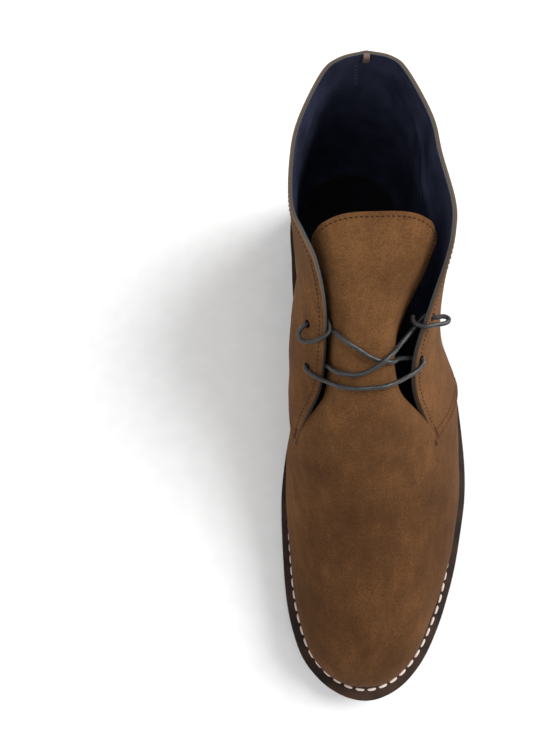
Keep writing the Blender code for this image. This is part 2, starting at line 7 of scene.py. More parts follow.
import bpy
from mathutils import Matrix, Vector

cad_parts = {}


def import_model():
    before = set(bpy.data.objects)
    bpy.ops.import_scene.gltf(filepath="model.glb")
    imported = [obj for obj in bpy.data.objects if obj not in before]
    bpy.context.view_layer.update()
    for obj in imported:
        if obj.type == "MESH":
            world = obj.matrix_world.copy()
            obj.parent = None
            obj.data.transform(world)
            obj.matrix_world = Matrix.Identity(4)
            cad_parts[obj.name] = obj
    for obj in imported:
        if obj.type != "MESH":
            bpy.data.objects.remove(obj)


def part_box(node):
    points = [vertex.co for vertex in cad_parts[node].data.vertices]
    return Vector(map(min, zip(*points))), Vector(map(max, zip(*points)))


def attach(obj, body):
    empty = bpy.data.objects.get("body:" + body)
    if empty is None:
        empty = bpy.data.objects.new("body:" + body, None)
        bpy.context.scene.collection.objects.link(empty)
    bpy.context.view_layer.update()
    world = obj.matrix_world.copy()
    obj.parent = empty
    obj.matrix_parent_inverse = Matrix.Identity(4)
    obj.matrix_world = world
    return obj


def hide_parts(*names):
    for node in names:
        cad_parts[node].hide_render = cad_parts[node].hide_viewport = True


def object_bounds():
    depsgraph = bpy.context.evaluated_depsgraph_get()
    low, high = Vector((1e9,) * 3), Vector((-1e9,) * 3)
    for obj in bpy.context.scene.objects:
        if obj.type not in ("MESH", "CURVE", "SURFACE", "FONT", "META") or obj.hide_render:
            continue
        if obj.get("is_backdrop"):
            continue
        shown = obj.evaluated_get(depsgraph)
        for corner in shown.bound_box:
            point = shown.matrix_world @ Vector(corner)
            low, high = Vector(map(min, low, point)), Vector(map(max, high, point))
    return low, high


bl_info = {
    "name": "Chukka boot looks",
    "version": (1, 0, 0),
    "blender": (4, 5, 0),
    "location": "View3D > Sidebar > Boot",
    "description": "Dresses the packed chukka boot and sets its studio",
    "category": "Object",
}

from math import cos, pi, radians, sin

import bmesh
import bpy
import numpy as np
from mathutils import Euler, Vector
from mathutils.bvhtree import BVHTree

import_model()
CAD_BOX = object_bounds()

# Driving dimensions of the bottom
SOLE_LENGTH = 0.297
BALL_WIDTH = 0.104
HEEL_WIDTH = 0.069
SEAT_HEIGHT = 0.022
TOE_SPRING = 0.009
OUTSOLE_THICK = 0.005
WELT_THICK = 0.003
INSOLE_THICK = 0.0035
TOP_PIECE_THICK = 0.006

# Driving dimensions of the upper
SHAFT_HEIGHT = 0.0975
COLLAR_WIDTH = 0.066
INSTEP_RISE = 0.0715
WALL = 0.0020
OVERLAY = 0.0013
FEATHER_RISE = 0.003
TONGUE_CORNER = 0.0045
HOLE_DIAMETER = 0.0040
LACE_DIAMETER = 0.0021
TAB_WIDTH = 0.0045
GAP = 0.0003

# Where the bottom changes along its length, as shares of the length from the heel
SHARE_BREAST = 0.245
SHARE_ARCH_END = 0.573
SHARE_SPRING_START = 0.75
SHARE_THROAT = 0.578

# Outline of the sole seen from above: share of the length from the heel,
# share of the local width outward (lateral positive), once round from the heel
OUTLINE = (
    (0.0000, 0.000), (0.0337, 0.354), (0.1150, 0.500), (0.2000, 0.504),
    (0.2670, 0.531), (0.3330, 0.576), (0.4000, 0.618), (0.4530, 0.627),
    (0.5170, 0.614), (0.5930, 0.601), (0.6630, 0.587), (0.7330, 0.546),
    (0.7870, 0.507), (0.8370, 0.457), (0.8870, 0.394), (0.9370, 0.308),
    (0.9730, 0.208), (0.9930, 0.106), (1.0000, 0.005), (0.9930, -0.100),
    (0.9730, -0.202), (0.9370, -0.294), (0.8870, -0.349), (0.8370, -0.377),
    (0.7700, -0.392), (0.7000, -0.400), (0.6500, -0.398), (0.5830, -0.376),
    (0.5000, -0.350), (0.4170, -0.361), (0.3330, -0.416), (0.2670, -0.475),
    (0.2000, -0.500), (0.1150, -0.500), (0.0337, -0.354),
)

# How far the last's bottom edge lies inside the sole's edge, in metres:
# share of the length, lateral, medial
MARGINS = (
    (0.00, 0.0060, 0.0060), (0.20, 0.0062, 0.0060), (0.40, 0.0075, 0.0062),
    (0.60, 0.0092, 0.0070), (0.75, 0.0090, 0.0080), (0.88, 0.0100, 0.0090),
    (1.00, 0.0095, 0.0095),
)

# Lines drawn up the quarters, from the back seam to the throat corner.
# foot: share of the bottom edge's length from the heel; back: distance of the top point from
# the heel as a share of the sole's length; lat, med: its distance from the middle as a share of
# the collar's width; rise: its height, 0 at the throat corner and 1 at the collar; out, up: the
# lower handle; fwd, side, drop: the upper handle, all as shares of the line's length
QUARTER = (
    # foot, back, lat, med, rise, out_lat, out_med, up, fwd, side_lat, side_med, drop
    (0.000, 0.0300, 0.000, 0.000, 1.000, 0.085, 0.085, 0.26, 0.050, 0.00, 0.00, 0.37),
    (0.041, 0.0400, 0.150, 0.165, 1.000, 0.080, 0.080, 0.26, 0.040, 0.00, 0.00, 0.37),
    (0.079, 0.0640, 0.245, 0.280, 1.000, 0.070, 0.065, 0.26, 0.025, 0.00, 0.00, 0.36),
    (0.158, 0.1400, 0.380, 0.432, 0.998, 0.065, 0.040, 0.26, 0.005, -0.02, 0.00, 0.35),
    (0.209, 0.2000, 0.420, 0.485, 0.994, 0.080, 0.030, 0.26, 0.000, -0.02, -0.01, 0.35),
    (0.272, 0.2730, 0.478, 0.490, 0.988, 0.095, 0.030, 0.26, 0.000, 0.00, -0.02, 0.34),
    (0.304, 0.3130, 0.472, 0.420, 0.968, 0.095, 0.050, 0.26, -0.020, 0.03, 0.00, 0.33),
    (0.329, 0.3470, 0.446, 0.345, 0.890, 0.090, 0.080, 0.25, -0.040, 0.06, 0.10, 0.33),
    (0.361, 0.3970, 0.386, 0.290, 0.690, 0.075, 0.100, 0.24, -0.060, 0.12, 0.24, 0.28),
    (0.392, 0.4570, 0.322, 0.294, 0.455, 0.075, 0.125, 0.22, -0.080, 0.20, 0.32, 0.22),
    (0.418, 0.5000, 0.340, 0.325, 0.290, 0.090, 0.130, 0.22, -0.100, 0.24, 0.30, 0.19),
    (0.437, 0.5400, 0.425, 0.415, 0.140, 0.110, 0.130, 0.23, -0.150, 0.24, 0.20, 0.19),
    (0.456, 0.5780, 0.530, 0.478, 0.000, 0.120, 0.122, 0.24, -0.200, 0.23, 0.08, 0.18),
)

# Lines drawn up to the ridge of the vamp, from the throat line to the toe. Here lat, med are
# shares of the ball's width, and rise is a share of the instep's rise over the bottom edge
RIDGE = (
    (0.590, 0.5780, 0.0170, -0.017, 1.000, 0.070, 0.118, 0.26, 0.000, 0.21, 0.47, 0.00),
    (0.650, 0.6280, 0.0170, -0.017, 0.885, 0.080, 0.125, 0.25, 0.020, 0.27, 0.44, 0.01),
    (0.725, 0.6900, 0.0170, -0.017, 0.762, 0.082, 0.125, 0.25, 0.050, 0.34, 0.42, 0.02),
    (0.795, 0.7520, 0.0170, -0.017, 0.662, 0.078, 0.135, 0.26, 0.080, 0.38, 0.41, 0.02),
    (0.855, 0.8080, 0.0150, -0.015, 0.590, 0.060, 0.140, 0.30, 0.140, 0.39, 0.40, 0.04),
    (0.905, 0.8380, 0.0110, -0.011, 0.553, 0.050, 0.130, 0.33, 0.300, 0.38, 0.38, 0.10),
    (0.945, 0.8560, 0.0080, -0.008, 0.531, 0.040, 0.100, 0.34, 0.360, 0.30, 0.31, 0.14),
    (0.975, 0.8660, 0.0060, -0.006, 0.519, 0.000, 0.030, 0.36, 0.420, 0.16, 0.17, 0.17),
    (1.000, 0.8700, 0.0050, -0.005, 0.514, -0.050, -0.050, 0.37, 0.450, 0.00, 0.00, 0.18),
)

# Where the throat corner lies on the first of those lines, from its foot to the ridge
SHARE_CORNER = 0.55

# The tongue from the throat line to its top edge: distance from the heel as a share of the
# length, height of its middle as a share between instep and collar, half width and fall of its
# sides as shares of the collar's width, middle's offset, roundness of the section
TONGUE = (
    (0.5780, 0.000, 0.430, 0.200, 0.026, 2.0),
    (0.5520, 0.100, 0.350, 0.235, 0.012, 2.2),
    (0.5260, 0.195, 0.285, 0.250, -0.006, 2.5),
    (0.4970, 0.295, 0.230, 0.270, -0.020, 4.0),
    (0.4600, 0.410, 0.215, 0.300, -0.027, 5.0),
    (0.4200, 0.540, 0.220, 0.300, -0.024, 5.0),
    (0.3790, 0.680, 0.265, 0.240, -0.006, 5.0),
    (0.3400, 0.815, 0.335, 0.150, 0.014, 4.4),
    (0.3060, 0.928, 0.378, 0.080, 0.020, 3.6),
    (0.2870, 0.993, 0.384, 0.060, 0.022, 3.0),
)

# Lace holes: name, side (0 lateral, 1 medial), place along QUARTER, place up that line
EYELETS = (
    ("lateral_low", 0, 9.1, 0.94), ("lateral_high", 0, 8.2, 0.92),
    ("medial_low", 1, 9.3, 0.885), ("medial_high", 1, 8.3, 0.87),
)

# The lace's stretches as points of their middle lines, in the boot's own frame
LACE_BAR = (
    (-0.0381, 0.0090, 0.0826), (-0.0350, 0.0054, 0.0844), (-0.0311, 0.0029, 0.0858),
    (-0.0272, 0.0004, 0.0893), (-0.0232, -0.0023, 0.0941), (-0.0168, -0.0038, 0.0966),
    (-0.0102, -0.0034, 0.0961), (-0.0039, -0.0026, 0.0957), (0.0021, 0.0000, 0.0932),
    (0.0070, 0.0031, 0.0896), (0.0112, 0.0057, 0.0882), (0.0137, 0.0081, 0.0877),
    (0.0152, 0.0104, 0.0869),
)
LACE_UNDER = (
    (-0.0252, 0.0203, 0.1020), (-0.0239, 0.0175, 0.1043), (-0.0195, 0.0140, 0.1048),
    (-0.0152, 0.0114, 0.1038), (-0.0118, 0.0093, 0.1027), (-0.0067, 0.0074, 0.1013),
    (-0.0010, 0.0073, 0.0997), (0.0023, 0.0100, 0.0941), (0.0054, 0.0115, 0.0896),
    (0.0086, 0.0124, 0.0864),
)
LACE_OVER = (
    (-0.0282, 0.0084, 0.0890), (-0.0263, 0.0053, 0.0936), (-0.0229, 0.0031, 0.0969),
    (-0.0187, 0.0021, 0.0982), (-0.0156, 0.0019, 0.0989), (-0.0125, 0.0026, 0.0999),
    (-0.0095, 0.0039, 0.1016), (-0.0069, 0.0054, 0.1030), (-0.0042, 0.0076, 0.1031),
    (-0.0007, 0.0109, 0.1017), (0.0028, 0.0154, 0.0986), (0.0064, 0.0196, 0.0970),
    (0.0094, 0.0232, 0.0966),
)
LACE_LOOP_MEDIAL = (
    (-0.0303, 0.0299, 0.0969), (-0.0286, 0.0273, 0.0987), (-0.0277, 0.0247, 0.0996),
    (-0.0275, 0.0219, 0.0992), (-0.0289, 0.0200, 0.0994), (-0.0308, 0.0187, 0.0993),
    (-0.0328, 0.0184, 0.0969), (-0.0354, 0.0184, 0.0944), (-0.0380, 0.0189, 0.0922),
    (-0.0400, 0.0201, 0.0909), (-0.0413, 0.0221, 0.0907), (-0.0411, 0.0240, 0.0919),
    (-0.0396, 0.0253, 0.0933),
)
LACE_LOOP_LATERAL = (
    (0.0089, 0.0281, 0.0990), (0.0085, 0.0259, 0.0996), (0.0095, 0.0239, 0.1004),
    (0.0113, 0.0231, 0.1011), (0.0135, 0.0220, 0.1022), (0.0169, 0.0230, 0.1016),
    (0.0203, 0.0236, 0.1008), (0.0231, 0.0244, 0.1002), (0.0245, 0.0258, 0.0997),
    (0.0238, 0.0274, 0.0991), (0.0214, 0.0280, 0.0987),
)

CURVE_STEPS = 30

# Shares of the sole's length between which it widens from the heel to the ball
WIDENING = (0.2, 0.6)

# Small steps for finding a direction: along the last's bottom edge, and on a quarter
FOOT_STEP = 0.01
WALL_STEP = 0.02

# Rows of QUARTER before its end between which the overlay grows to its full thickness
OVERLAY_ROWS = (5, 1.4)

# Points inside the quarters and the vamp, which their outer faces look away from: distance from
# the heel, distance outward, height
INSIDE_QUARTERS = (0.3 * SOLE_LENGTH, 0, 0.06)
INSIDE_VAMP = (0.6 * SOLE_LENGTH, 0, 0.03)

# Depth of the cut for a hole, and the distance under which points are merged
HOLE_DEPTH = 0.012
MERGE = 1e-6


def span_point(start, end, slope_start, slope_end, t):
    """Point at t of a smooth span with the given ends and slopes."""
    return ((2 * t**3 - 3 * t**2 + 1) * start + (t**3 - 2 * t**2 + t) * slope_start
            + (3 * t**2 - 2 * t**3) * end + (t**3 - t**2) * slope_end)


def smooth_rows(rows, at):
    """Value of each column of a table at a place between its rows, on a smooth curve."""
    table = np.array(rows, dtype=float)
    last = len(table) - 1
    at = min(max(at, 0.0), float(last))
    low = min(int(at), last - 1)
    before = table[max(low - 1, 0)]
    start = table[low]
    end = table[low + 1]
    after = table[min(low + 2, last)]
    slope_start = (end - before) / 2 if low else end - start
    slope_end = (after - start) / 2 if low + 1 < last else end - start
    return span_point(start, end, slope_start, slope_end, at - low)


def smooth_step(low, high, value):
    t = min(max((value - low) / (high - low), 0.0), 1.0)
    return t * t * (3 - 2 * t)


def bottom_height(s):
    """Height of the outsole's underside at distance s from the heel."""
    share = s / SOLE_LENGTH
    arch = SEAT_HEIGHT * (1 - smooth_step(SHARE_BREAST, SHARE_ARCH_END, share))
    spring = max(share - SHARE_SPRING_START, 0) / (1 - SHARE_SPRING_START)
    return arch + TOE_SPRING * spring**2


def welt_top(s):
    return bottom_height(s) + OUTSOLE_THICK + GAP + WELT_THICK


def feather_height(s):
    return welt_top(s) + GAP


def local_width(share):
    return HEEL_WIDTH + (BALL_WIDTH - HEEL_WIDTH) * smooth_step(*WIDENING, share)


def closed_curve(points):
    """Points of a smooth closed curve through the given points."""
    count = len(points)
    dense = []
    for i in range(count):
        before, start, end, after = (points[(i + k - 1) % count] for k in range(4))
        span, span_before, span_after = (
            np.linalg.norm(step) for step in (end - start, start - before, after - end))
        slope_start = (end - before) * span / (span_before + span)
        slope_end = (after - start) * span / (span_after + span)
        dense += [span_point(start, end, slope_start, slope_end, t)
                  for t in np.linspace(0, 1, CURVE_STEPS, endpoint=False)]
    return np.array(dense)


def sole_outline():
    """The sole's edge as points (distance from the heel, distance outward)."""
    points = [np.array((share * SOLE_LENGTH, width * local_width(share)))
              for share, width in OUTLINE]
    curve = closed_curve(points)
    lengths = curve[:, 0]
    curve[:, 0] = (lengths - lengths.min()) * SOLE_LENGTH / (lengths.max() - lengths.min())
    return curve


EDGE = sole_outline()
MIDDLE_X = (EDGE[:, 1].max() + EDGE[:, 1].min()) / 2


def inset_outline(extra=0.0, scale=1.0):
    """The sole's edge moved inward by its local margin times scale, plus extra."""
    tangent = np.roll(EDGE, -1, axis=0) - np.roll(EDGE, 1, axis=0)
    tangent /= np.linalg.norm(tangent, axis=1)[:, None]
    inward = np.stack((tangent[:, 1], -tangent[:, 0]), axis=1)
    shares = EDGE[:, 0] / SOLE_LENGTH
    table = np.array(MARGINS)
    lateral = np.interp(shares, table[:, 0], table[:, 1])
    medial = np.interp(shares, table[:, 0], table[:, 2])
    margin = np.where(EDGE[:, 1] > 0, lateral, medial)
    return EDGE + inward * (margin * scale + extra)[:, None]


def side_lines(curve):
    """A closed outline split into its lateral and medial lines, each from heel to toe."""
    heel = int(np.argmin(curve[:, 0]))
    turned = np.roll(curve, -heel, axis=0)
    toe = int(np.argmax(turned[:, 0]))
    lateral = turned[:toe + 1]
    medial = np.vstack((turned[toe:], turned[:1]))[::-1]
    return lateral, medial


def between(target, places, points):
    """Point at a place on a line whose points lie at the given places."""
    return [np.interp(target, places, column) for column in points.T]


def along(line, share):
    """Point of a line at a share of its length."""
    steps = np.linalg.norm(np.diff(line, axis=0), axis=1)
    at = np.concatenate(((0,), np.cumsum(steps)))
    return np.array(between(share * at[-1], at, line))


FEATHER = side_lines(inset_outline())


def on_feather(side, share):
    """Point of the last's bottom edge, also a little past the heel or the toe."""
    if share < 0:
        return along(FEATHER[1 - side], -share)
    if share > 1:
        return along(FEATHER[1 - side], 2 - share)
    return along(FEATHER[side], share)


def world(s, x, z):
    return Vector((x - MIDDLE_X, SOLE_LENGTH / 2 - s, z))


def line_points(rows, index, side):
    """Five points (s, x, z) of a line up the last: foot, top of the rise, two handles, top."""
    (foot, back, lat, med, rise, out_lat, out_med, up, fwd, side_lat, side_med,
     drop) = smooth_rows(rows, index)
    sign = 1 - 2 * side
    base, outward = foot_point(side, foot)
    start = base + np.array((0, 0, FEATHER_RISE))
    width = (lat, med)[side] * sign
    s_top = back * SOLE_LENGTH
    if rows is QUARTER:
        corner = corner_point(side)
        level = corner[2] + rise * (feather_height(0) + SHAFT_HEIGHT - corner[2])
        landing = corner[1] - (QUARTER[-1][2], QUARTER[-1][3])[side] * sign * COLLAR_WIDTH
        top = np.array((s_top, width * COLLAR_WIDTH + landing * (1 - rise), level))
    else:
        top = np.array((s_top, width * BALL_WIDTH, feather_height(s_top) + rise * INSTEP_RISE))
    chord = np.linalg.norm(top - start)
    low = start + chord * np.array((*((out_lat, out_med)[side] * outward), up))
    high = top + chord * np.array((fwd, (side_lat, side_med)[side] * sign, -drop))
    return np.array((base, start, low, high, top))


def foot_point(side, foot):
    """Point of the last's bottom edge at a share of its length, and the way outward from it."""
    seat = on_feather(side, foot)
    tangent = on_feather(side, foot + FOOT_STEP) - on_feather(side, foot - FOOT_STEP)
    tangent /= np.linalg.norm(tangent)
    outward = np.array((-tangent[1], tangent[0])) * (1 - 2 * side)
    beyond = seat[0] + outward[0] * (WALL + OVERLAY)
    height = max(feather_height(seat[0]), feather_height(beyond))
    return np.array((seat[0], seat[1], height)), outward


def lower_arch(side):
    """The throat arch from its foot to the corner, as five points like those of a line."""
    base, a, b, c, d = line_points(RIDGE, 0, side)
    t = SHARE_CORNER
    ab, bc, cd = (first + (second - first) * t for first, second in ((a, b), (b, c), (c, d)))
    abc = ab + (bc - ab) * t
    bcd = bc + (cd - bc) * t
    return np.array((base, a, ab, abc, abc + (bcd - abc) * t))


def corner_point(side):
    return lower_arch(side)[4]


def wing_points(share, side):
    """A line of the vamp under the quarter's edge, from the seam to the throat arch."""
    seam = line_points(QUARTER, len(QUARTER) - 1, side)
    arch = lower_arch(side)
    foot = QUARTER[-1][0] + share * (RIDGE[0][0] - QUARTER[-1][0])
    base, _ = foot_point(side, foot)
    corner = arch[4]
    low = base + (seam[2] - seam[0]) * (1 - share) + (arch[2] - arch[0]) * share
    high = corner + (seam[3] - corner) * (1 - share) + (arch[3] - corner) * share
    return np.array((base, base + (0, 0, FEATHER_RISE), low, high, corner))


def on_line(points, t):
    """Point of a line at t from the top of the rise to the line's top."""
    _, a, b, c, d = points
    return (1 - t)**3 * a + 3 * (1 - t)**2 * t * b + 3 * (1 - t) * t**2 * c + t**3 * d


def wall_place(side, index, place):
    """Point of a quarter's inner face and the way outward from it, in the boot's frame."""
    before, after = (on_line(line_points(QUARTER, index + way, side), place)
                     for way in (-WALL_STEP, WALL_STEP))
    below, above = (on_line(line_points(QUARTER, index, side), place + way)
                    for way in (-WALL_STEP, WALL_STEP))
    forward = world(*after) - world(*before)
    upward = world(*above) - world(*below)
    outward = forward.cross(upward).normalized()
    if outward.x * (1 - 2 * side) < 0:
        outward.negate()
    return world(*on_line(line_points(QUARTER, index, side), place)), outward


# The photo's camera: place, turns in degrees, lens, width of the sensor in mm, nearest distance
CAMERA_PLACE = (-0.04139, -0.05282, 0.33451)
CAMERA_TURN = (14.0, 2.5, 0.0)
CAMERA_LENS = 27.5
CAMERA_SENSOR = 36.0
CAMERA_NEAR = 0.01

# The studio: size of the floor, strength of the light all round, and the lamps: name, place and
# width in metres, power in watts
FLOOR_SIZE = 3.0
STUDIO_LIGHT = 0.62
LAMPS = (("key light", (0.95, 0.45, 1.15), 0.9, 22.0), ("fill light", (-0.7, -0.5, 1.1), 1.2, 4.0))

# How finely the pieces are drawn
LINES_PER_ROW = 7
LINE_ROWS = 56
CORNER_LINE_ROW = 32
WING_LINES = 12
TONGUE_ROWS = 5
PLATE_ROWS = 130
PLATE_COLUMNS = 10
WELT_STRIDE = 3

# Angles in degrees from which an edge stays hard: upper, bottom, and the rest
SHARP_LEATHER = 50
SHARP_SOLE = 30
SHARP_TRIM = 40

# Widths of the rounded edges, in metres: bottom layers, welt, tab
EDGE_BEVEL = 0.0006
WELT_BEVEL = 0.0005
TAB_BEVEL = 0.0002

# How far the welt reaches in under the last, in metres. How far the heel stands back from the
# breast, as a share of the sole's length, and in from the sole's edge, of the last's margin.
# How far the sock stays in from the last's edge, in gaps
WELT_REACH = 0.001
HEEL_BACK = 0.005
HEEL_INSET = 0.12
SOCK_INSET = 2.5

# Stitches: pitch, length, width and height above the leather, in metres
SEWING = (0.0021, 0.0016, 0.00050, 0.00022)
WELTING = (0.0060, 0.0053, 0.00125, 0.0005)
TACKING = (0.0008, 0.0007, 0.0026, 0.0003)
LADDER = (0.0018, 0.0007, 0.0018, 0.0003)

# A stitch's own form: how deep its middle line sinks and how thick its ends are, as shares; its
# rings, the sides of a ring, and the step in metres that finds its direction
STITCH_SINK = 0.75
STITCH_END = 0.35
STITCH_DRAWING = (5, 8, 1e-4)

# Where the stitches run. Rows are counted back from the last line of QUARTER or of TONGUE, and
# places go up a line of QUARTER
EDGE_STITCH_DROP = 0.0028
EDGE_STITCH_END = 0.35
SEAM_STITCH_ROWS = (0.17, 0.42)
SEAM_STITCH_PLACES = (0.03, 0.94)
TACK_ROWS = (0.1, 0.55)
TACK_PLACE = 0.955
BACK_SEAM_INDEX = (0.36, 0.24)
BACK_SEAM_PLACES = (0.955, 0.83)
TONGUE_STITCH_ROW = 1.35
TONGUE_STITCH_DOWN = 1.4
TONGUE_STITCH_IN = 3

# Points that a long and a short row of stitches is laid through, steps down a line when a
# distance is walked, and the highest place where a quarter's outer face is taken
SEAM_POINTS = 60
SHORT_POINTS = 12
DOWN_STEPS = 120
PLACE_LIMIT = 0.98

# The welt stitches' distance from the sole's edge: in metres, and a share of the last's margin,
# which falls by the shift where the lateral side is the given distance from the middle, between
# the two shares of the sole's length and on to the toe
WELT_STITCH_INSET = 0.0001
WELT_STITCH_SHARE = 0.5
WELT_STITCH_SHIFT = 0.15
WELT_STITCH_REACH = 0.045
WELT_STITCH_FROM = (0.76, 0.84)

# Where the lace runs unseen, between a hole and the stretch that shows
LACE_HIDDEN_MEDIAL = ((-0.0318, 0.0252, 0.0918), (-0.0283, 0.0229, 0.0957))
LACE_HIDDEN_LATERAL = ((0.0118, 0.0262, 0.0950),)
LACE_HIDDEN_START = ((-0.0325, 0.0108, 0.0800), (-0.0292, 0.0096, 0.0842))

# The lace's drawing: points to a stretch of its route, step between rings in metres, rounds of
# smoothing that ease its bends over the holes' edges, and how far it stands off a hole, in
# diameters
LACE_POINTS = 10
LACE_STEP = 0.00042
LACE_EASING = 14
LACE_CLEAR = 0.7

# The lace's braid: sides of a ring, strands, pitch in metres and relief as a share of the radius
BRAID = (16, 4, 0.0042, 0.05)

# How far the tongue's sides roll down, in metres, the share of its half width they start at, and
# the rows of TONGUE between which they do. The row where it has its own form
TONGUE_ROLL = 0.0045
TONGUE_ROLL_START = 0.80
TONGUE_ROLL_ROWS = (2.0, 4.0)
TONGUE_FREE_ROW = 2.6

# The folded tab: thickness in metres, half its depth as a share of the node's, half its width as
# a share of TAB_WIDTH, and the heights of its front end, fold, fold's rise and back end as shares
# of the node's
TAB_THICK = 0.0006
TAB_DEPTH = 0.336
TAB_HALF = 0.30
TAB_LEVELS = (-0.45, 0.28, 0.18, 0.02)
TAB_FOLD_POINTS = 9
TAB_COLUMNS = 7


# Small helpers


def hue(code):
    """An sRGB colour written as hex, as linear RGBA."""
    channels = [int(code[i:i + 2], 16) / 255 for i in (0, 2, 4)]
    linear = [c / 12.92 if c <= 0.04045 else ((c + 0.055) / 1.055)**2.4 for c in channels]
    return (*linear, 1.0)


def walked(points):
    """Distance walked along a line of points, at each of them."""
    steps = [(b - a).length for a, b in zip(points, points[1:])]
    return np.concatenate(((0.0,), np.cumsum(steps)))


def mesh_of(name, bm):
    mesh = bpy.data.meshes.new(name)
    bm.to_mesh(mesh)
    bm.free()
    return mesh


def put(name, data):
    """A new object in the scene with the given data."""
    obj = bpy.data.objects.new(name, data)
    bpy.context.scene.collection.objects.link(obj)
    return obj


def finish(name, bm, materials, replaces=(), sharp=SHARP_TRIM):
    """A bmesh made into a piece of the boot; edges over the sharp angle stay hard."""
    mesh = mesh_of(name, bm)
    for material in materials:
        mesh.materials.append(material)
    mesh.shade_smooth()
    mesh.set_sharp_from_angle(angle=radians(sharp))
    obj = put(name, mesh)
    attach(obj, "root")
    if replaces:
        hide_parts(*replaces)
    return obj


def soften(obj, width):
    rounding = obj.modifiers.new("softened edge", "BEVEL")
    rounding.width = width
    rounding.segments = 3
    rounding.limit_method = "ANGLE"
    rounding.angle_limit = radians(SHARP_LEATHER)


def skin_tube(bm, loops):
    """Faces between loops of vertices, and over both ends."""
    for first, second in zip(loops, loops[1:]):
        for j in range(len(first)):
            after = (j + 1) % len(first)
            bm.faces.new((first[j], first[after], second[after], second[j]))
    bm.faces.new(loops[0][::-1])
    bm.faces.new(loops[-1])


# The leather sheets of the upper


def add_sheet(bm, columns, thickness):
    """Adds an open sheet of columns of points, with the leather's thickness at each point."""
    layer = bm.verts.layers.float["thick"]
    grid = []
    for c, column in enumerate(columns):
        grid.append([bm.verts.new(point) for point in column])
        for vertex in grid[-1]:
            vertex[layer] = thickness(c)
    for first, second in zip(grid, grid[1:]):
        for r in range(min(len(first), len(second)) - 1):
            bm.faces.new((first[r], second[r], second[r + 1], first[r + 1]))


def new_sheet():
    bm = bmesh.new()
    bm.verts.layers.float.new("thick")
    bm.verts.layers.float.new("depth")
    return bm


def face_outward(bm, inside):
    """Turns an open sheet so that its faces look away from a point inside."""
    bm.normal_update()
    looks = sum(face.normal.dot(face.calc_center_median() - inside) * face.calc_area()
                for face in bm.faces)
    if looks < 0:
        bmesh.ops.reverse_faces(bm, faces=bm.faces)


def grow_sheet(bm, inside, inner_shift=None):
    """Gives a sheet its thickness outward: depth is 0 on the inner face and 1 on the outer."""
    bmesh.ops.remove_doubles(bm, verts=bm.verts, dist=MERGE)
    bmesh.ops.dissolve_degenerate(bm, dist=MERGE / 10, edges=bm.edges)
    face_outward(bm, inside)
    bm.normal_update()
    way = bm.verts.layers.float_vector.new("way")
    thick = bm.verts.layers.float["thick"]
    depth = bm.verts.layers.float["depth"]
    for vertex in bm.verts:
        vertex[way] = vertex.normal
    inner = bm.verts[:]
    grown = bmesh.ops.extrude_face_region(bm, geom=bm.faces[:])["geom"]
    for vertex in [item for item in grown if isinstance(item, bmesh.types.BMVert)]:
        vertex.co += vertex[way] * vertex[thick]
        vertex[depth] = 1.0
    if inner_shift:
        for vertex in inner:
            vertex.co += vertex[way] * inner_shift(vertex.co)
    bmesh.ops.recalc_face_normals(bm, faces=bm.faces)
    for face in bm.faces:
        total = sum(vertex[depth] for vertex in face.verts)
        face.material_index = 1 if total == 0 else 0 if total == len(face.verts) else 2
    bm.verts.layers.float_vector.remove(bm.verts.layers.float_vector["way"])


def quarter_stations():
    """Side and place along QUARTER of each line, from the lateral seam round to the medial."""
    last = len(QUARTER) - 1
    steps = [k / LINES_PER_ROW for k in range(last * LINES_PER_ROW + 1)]
    return [(0, at) for at in reversed(steps)] + [(1, at) for at in steps[1:]]


def line_column(points, places):
    """A line's points in the boot's frame at places up it, its foot first."""
    return [world(*points[0])] + [world(*on_line(points, place)) for place in places]


def overlay_share(index):
    return smooth_step(len(QUARTER) - OVERLAY_ROWS[0], len(QUARTER) - OVERLAY_ROWS[1], index)


# Soft wrinkles pressed into the lining: side, first and last place along QUARTER, height up the
# line at either end, width and depth in metres
LINING_WRINKLES = (
    (0, 0.3, 0.95, 3.6, 0.55, 0.0020, 0.0018), (0, 0.8, 0.92, 4.4, 0.50, 0.0022, 0.0020),
    (0, 1.2, 0.95, 4.8, 0.68, 0.0015, 0.0012), (0, 1.6, 0.93, 4.9, 0.60, 0.0018, 0.0016),
    (0, 2.4, 0.90, 5.6, 0.62, 0.0020, 0.0016), (0, 0.5, 0.85, 3.0, 0.35, 0.0018, 0.0012),
    (1, 0.25, 0.58, 0.9, 0.08, 0.0009, 0.0005), (0, 0.60, 0.54, 1.2, 0.08, 0.0009, 0.0005),
    (1, 0.6, 0.93, 2.6, 0.50, 0.0045, 0.0005), (1, 2.2, 0.90, 4.2, 0.60, 0.0045, 0.0005),
)

# Creases of the vamp and the tongue: from, to (share of the length, distance outward in
# metres), width and depth in metres
VAMP_CREASES = (
    ((0.640, 0.030), (0.625, -0.020), 0.0060, 0.0004),
    ((0.672, 0.034), (0.660, -0.004), 0.0050, 0.0003),
    ((0.700, -0.030), (0.690, 0.004), 0.0055, 0.0003),
)
TONGUE_CREASES = (
    ((0.500, 0.006), (0.448, 0.013), 0.0022, 0.0005),
    ((0.545, -0.018), (0.520, 0.004), 0.0040, 0.0004),
)

# The share of their length where creases and wrinkles stop getting shallower
CREASE_END = 0.04
WRINKLE_END = 0.05


def segment_distance(p, a, b):
    """Distance in plan from p to the segment from a to b, and how far along it that is."""
    along_x, along_y = b[0] - a[0], b[1] - a[1]
    t = ((p[0] - a[0]) * along_x + (p[1] - a[1]) * along_y) / (along_x**2 + along_y**2)
    t = min(max(t, 0.0), 1.0)
    return ((p[0] - a[0] - t * along_x)**2 + (p[1] - a[1] - t * along_y)**2)**0.5, t


def faded(t, end):
    """A crease's depth along its run: 1 in the middle, and shallow at both ends."""
    return sin(pi * min(max(t, end), 1 - end))


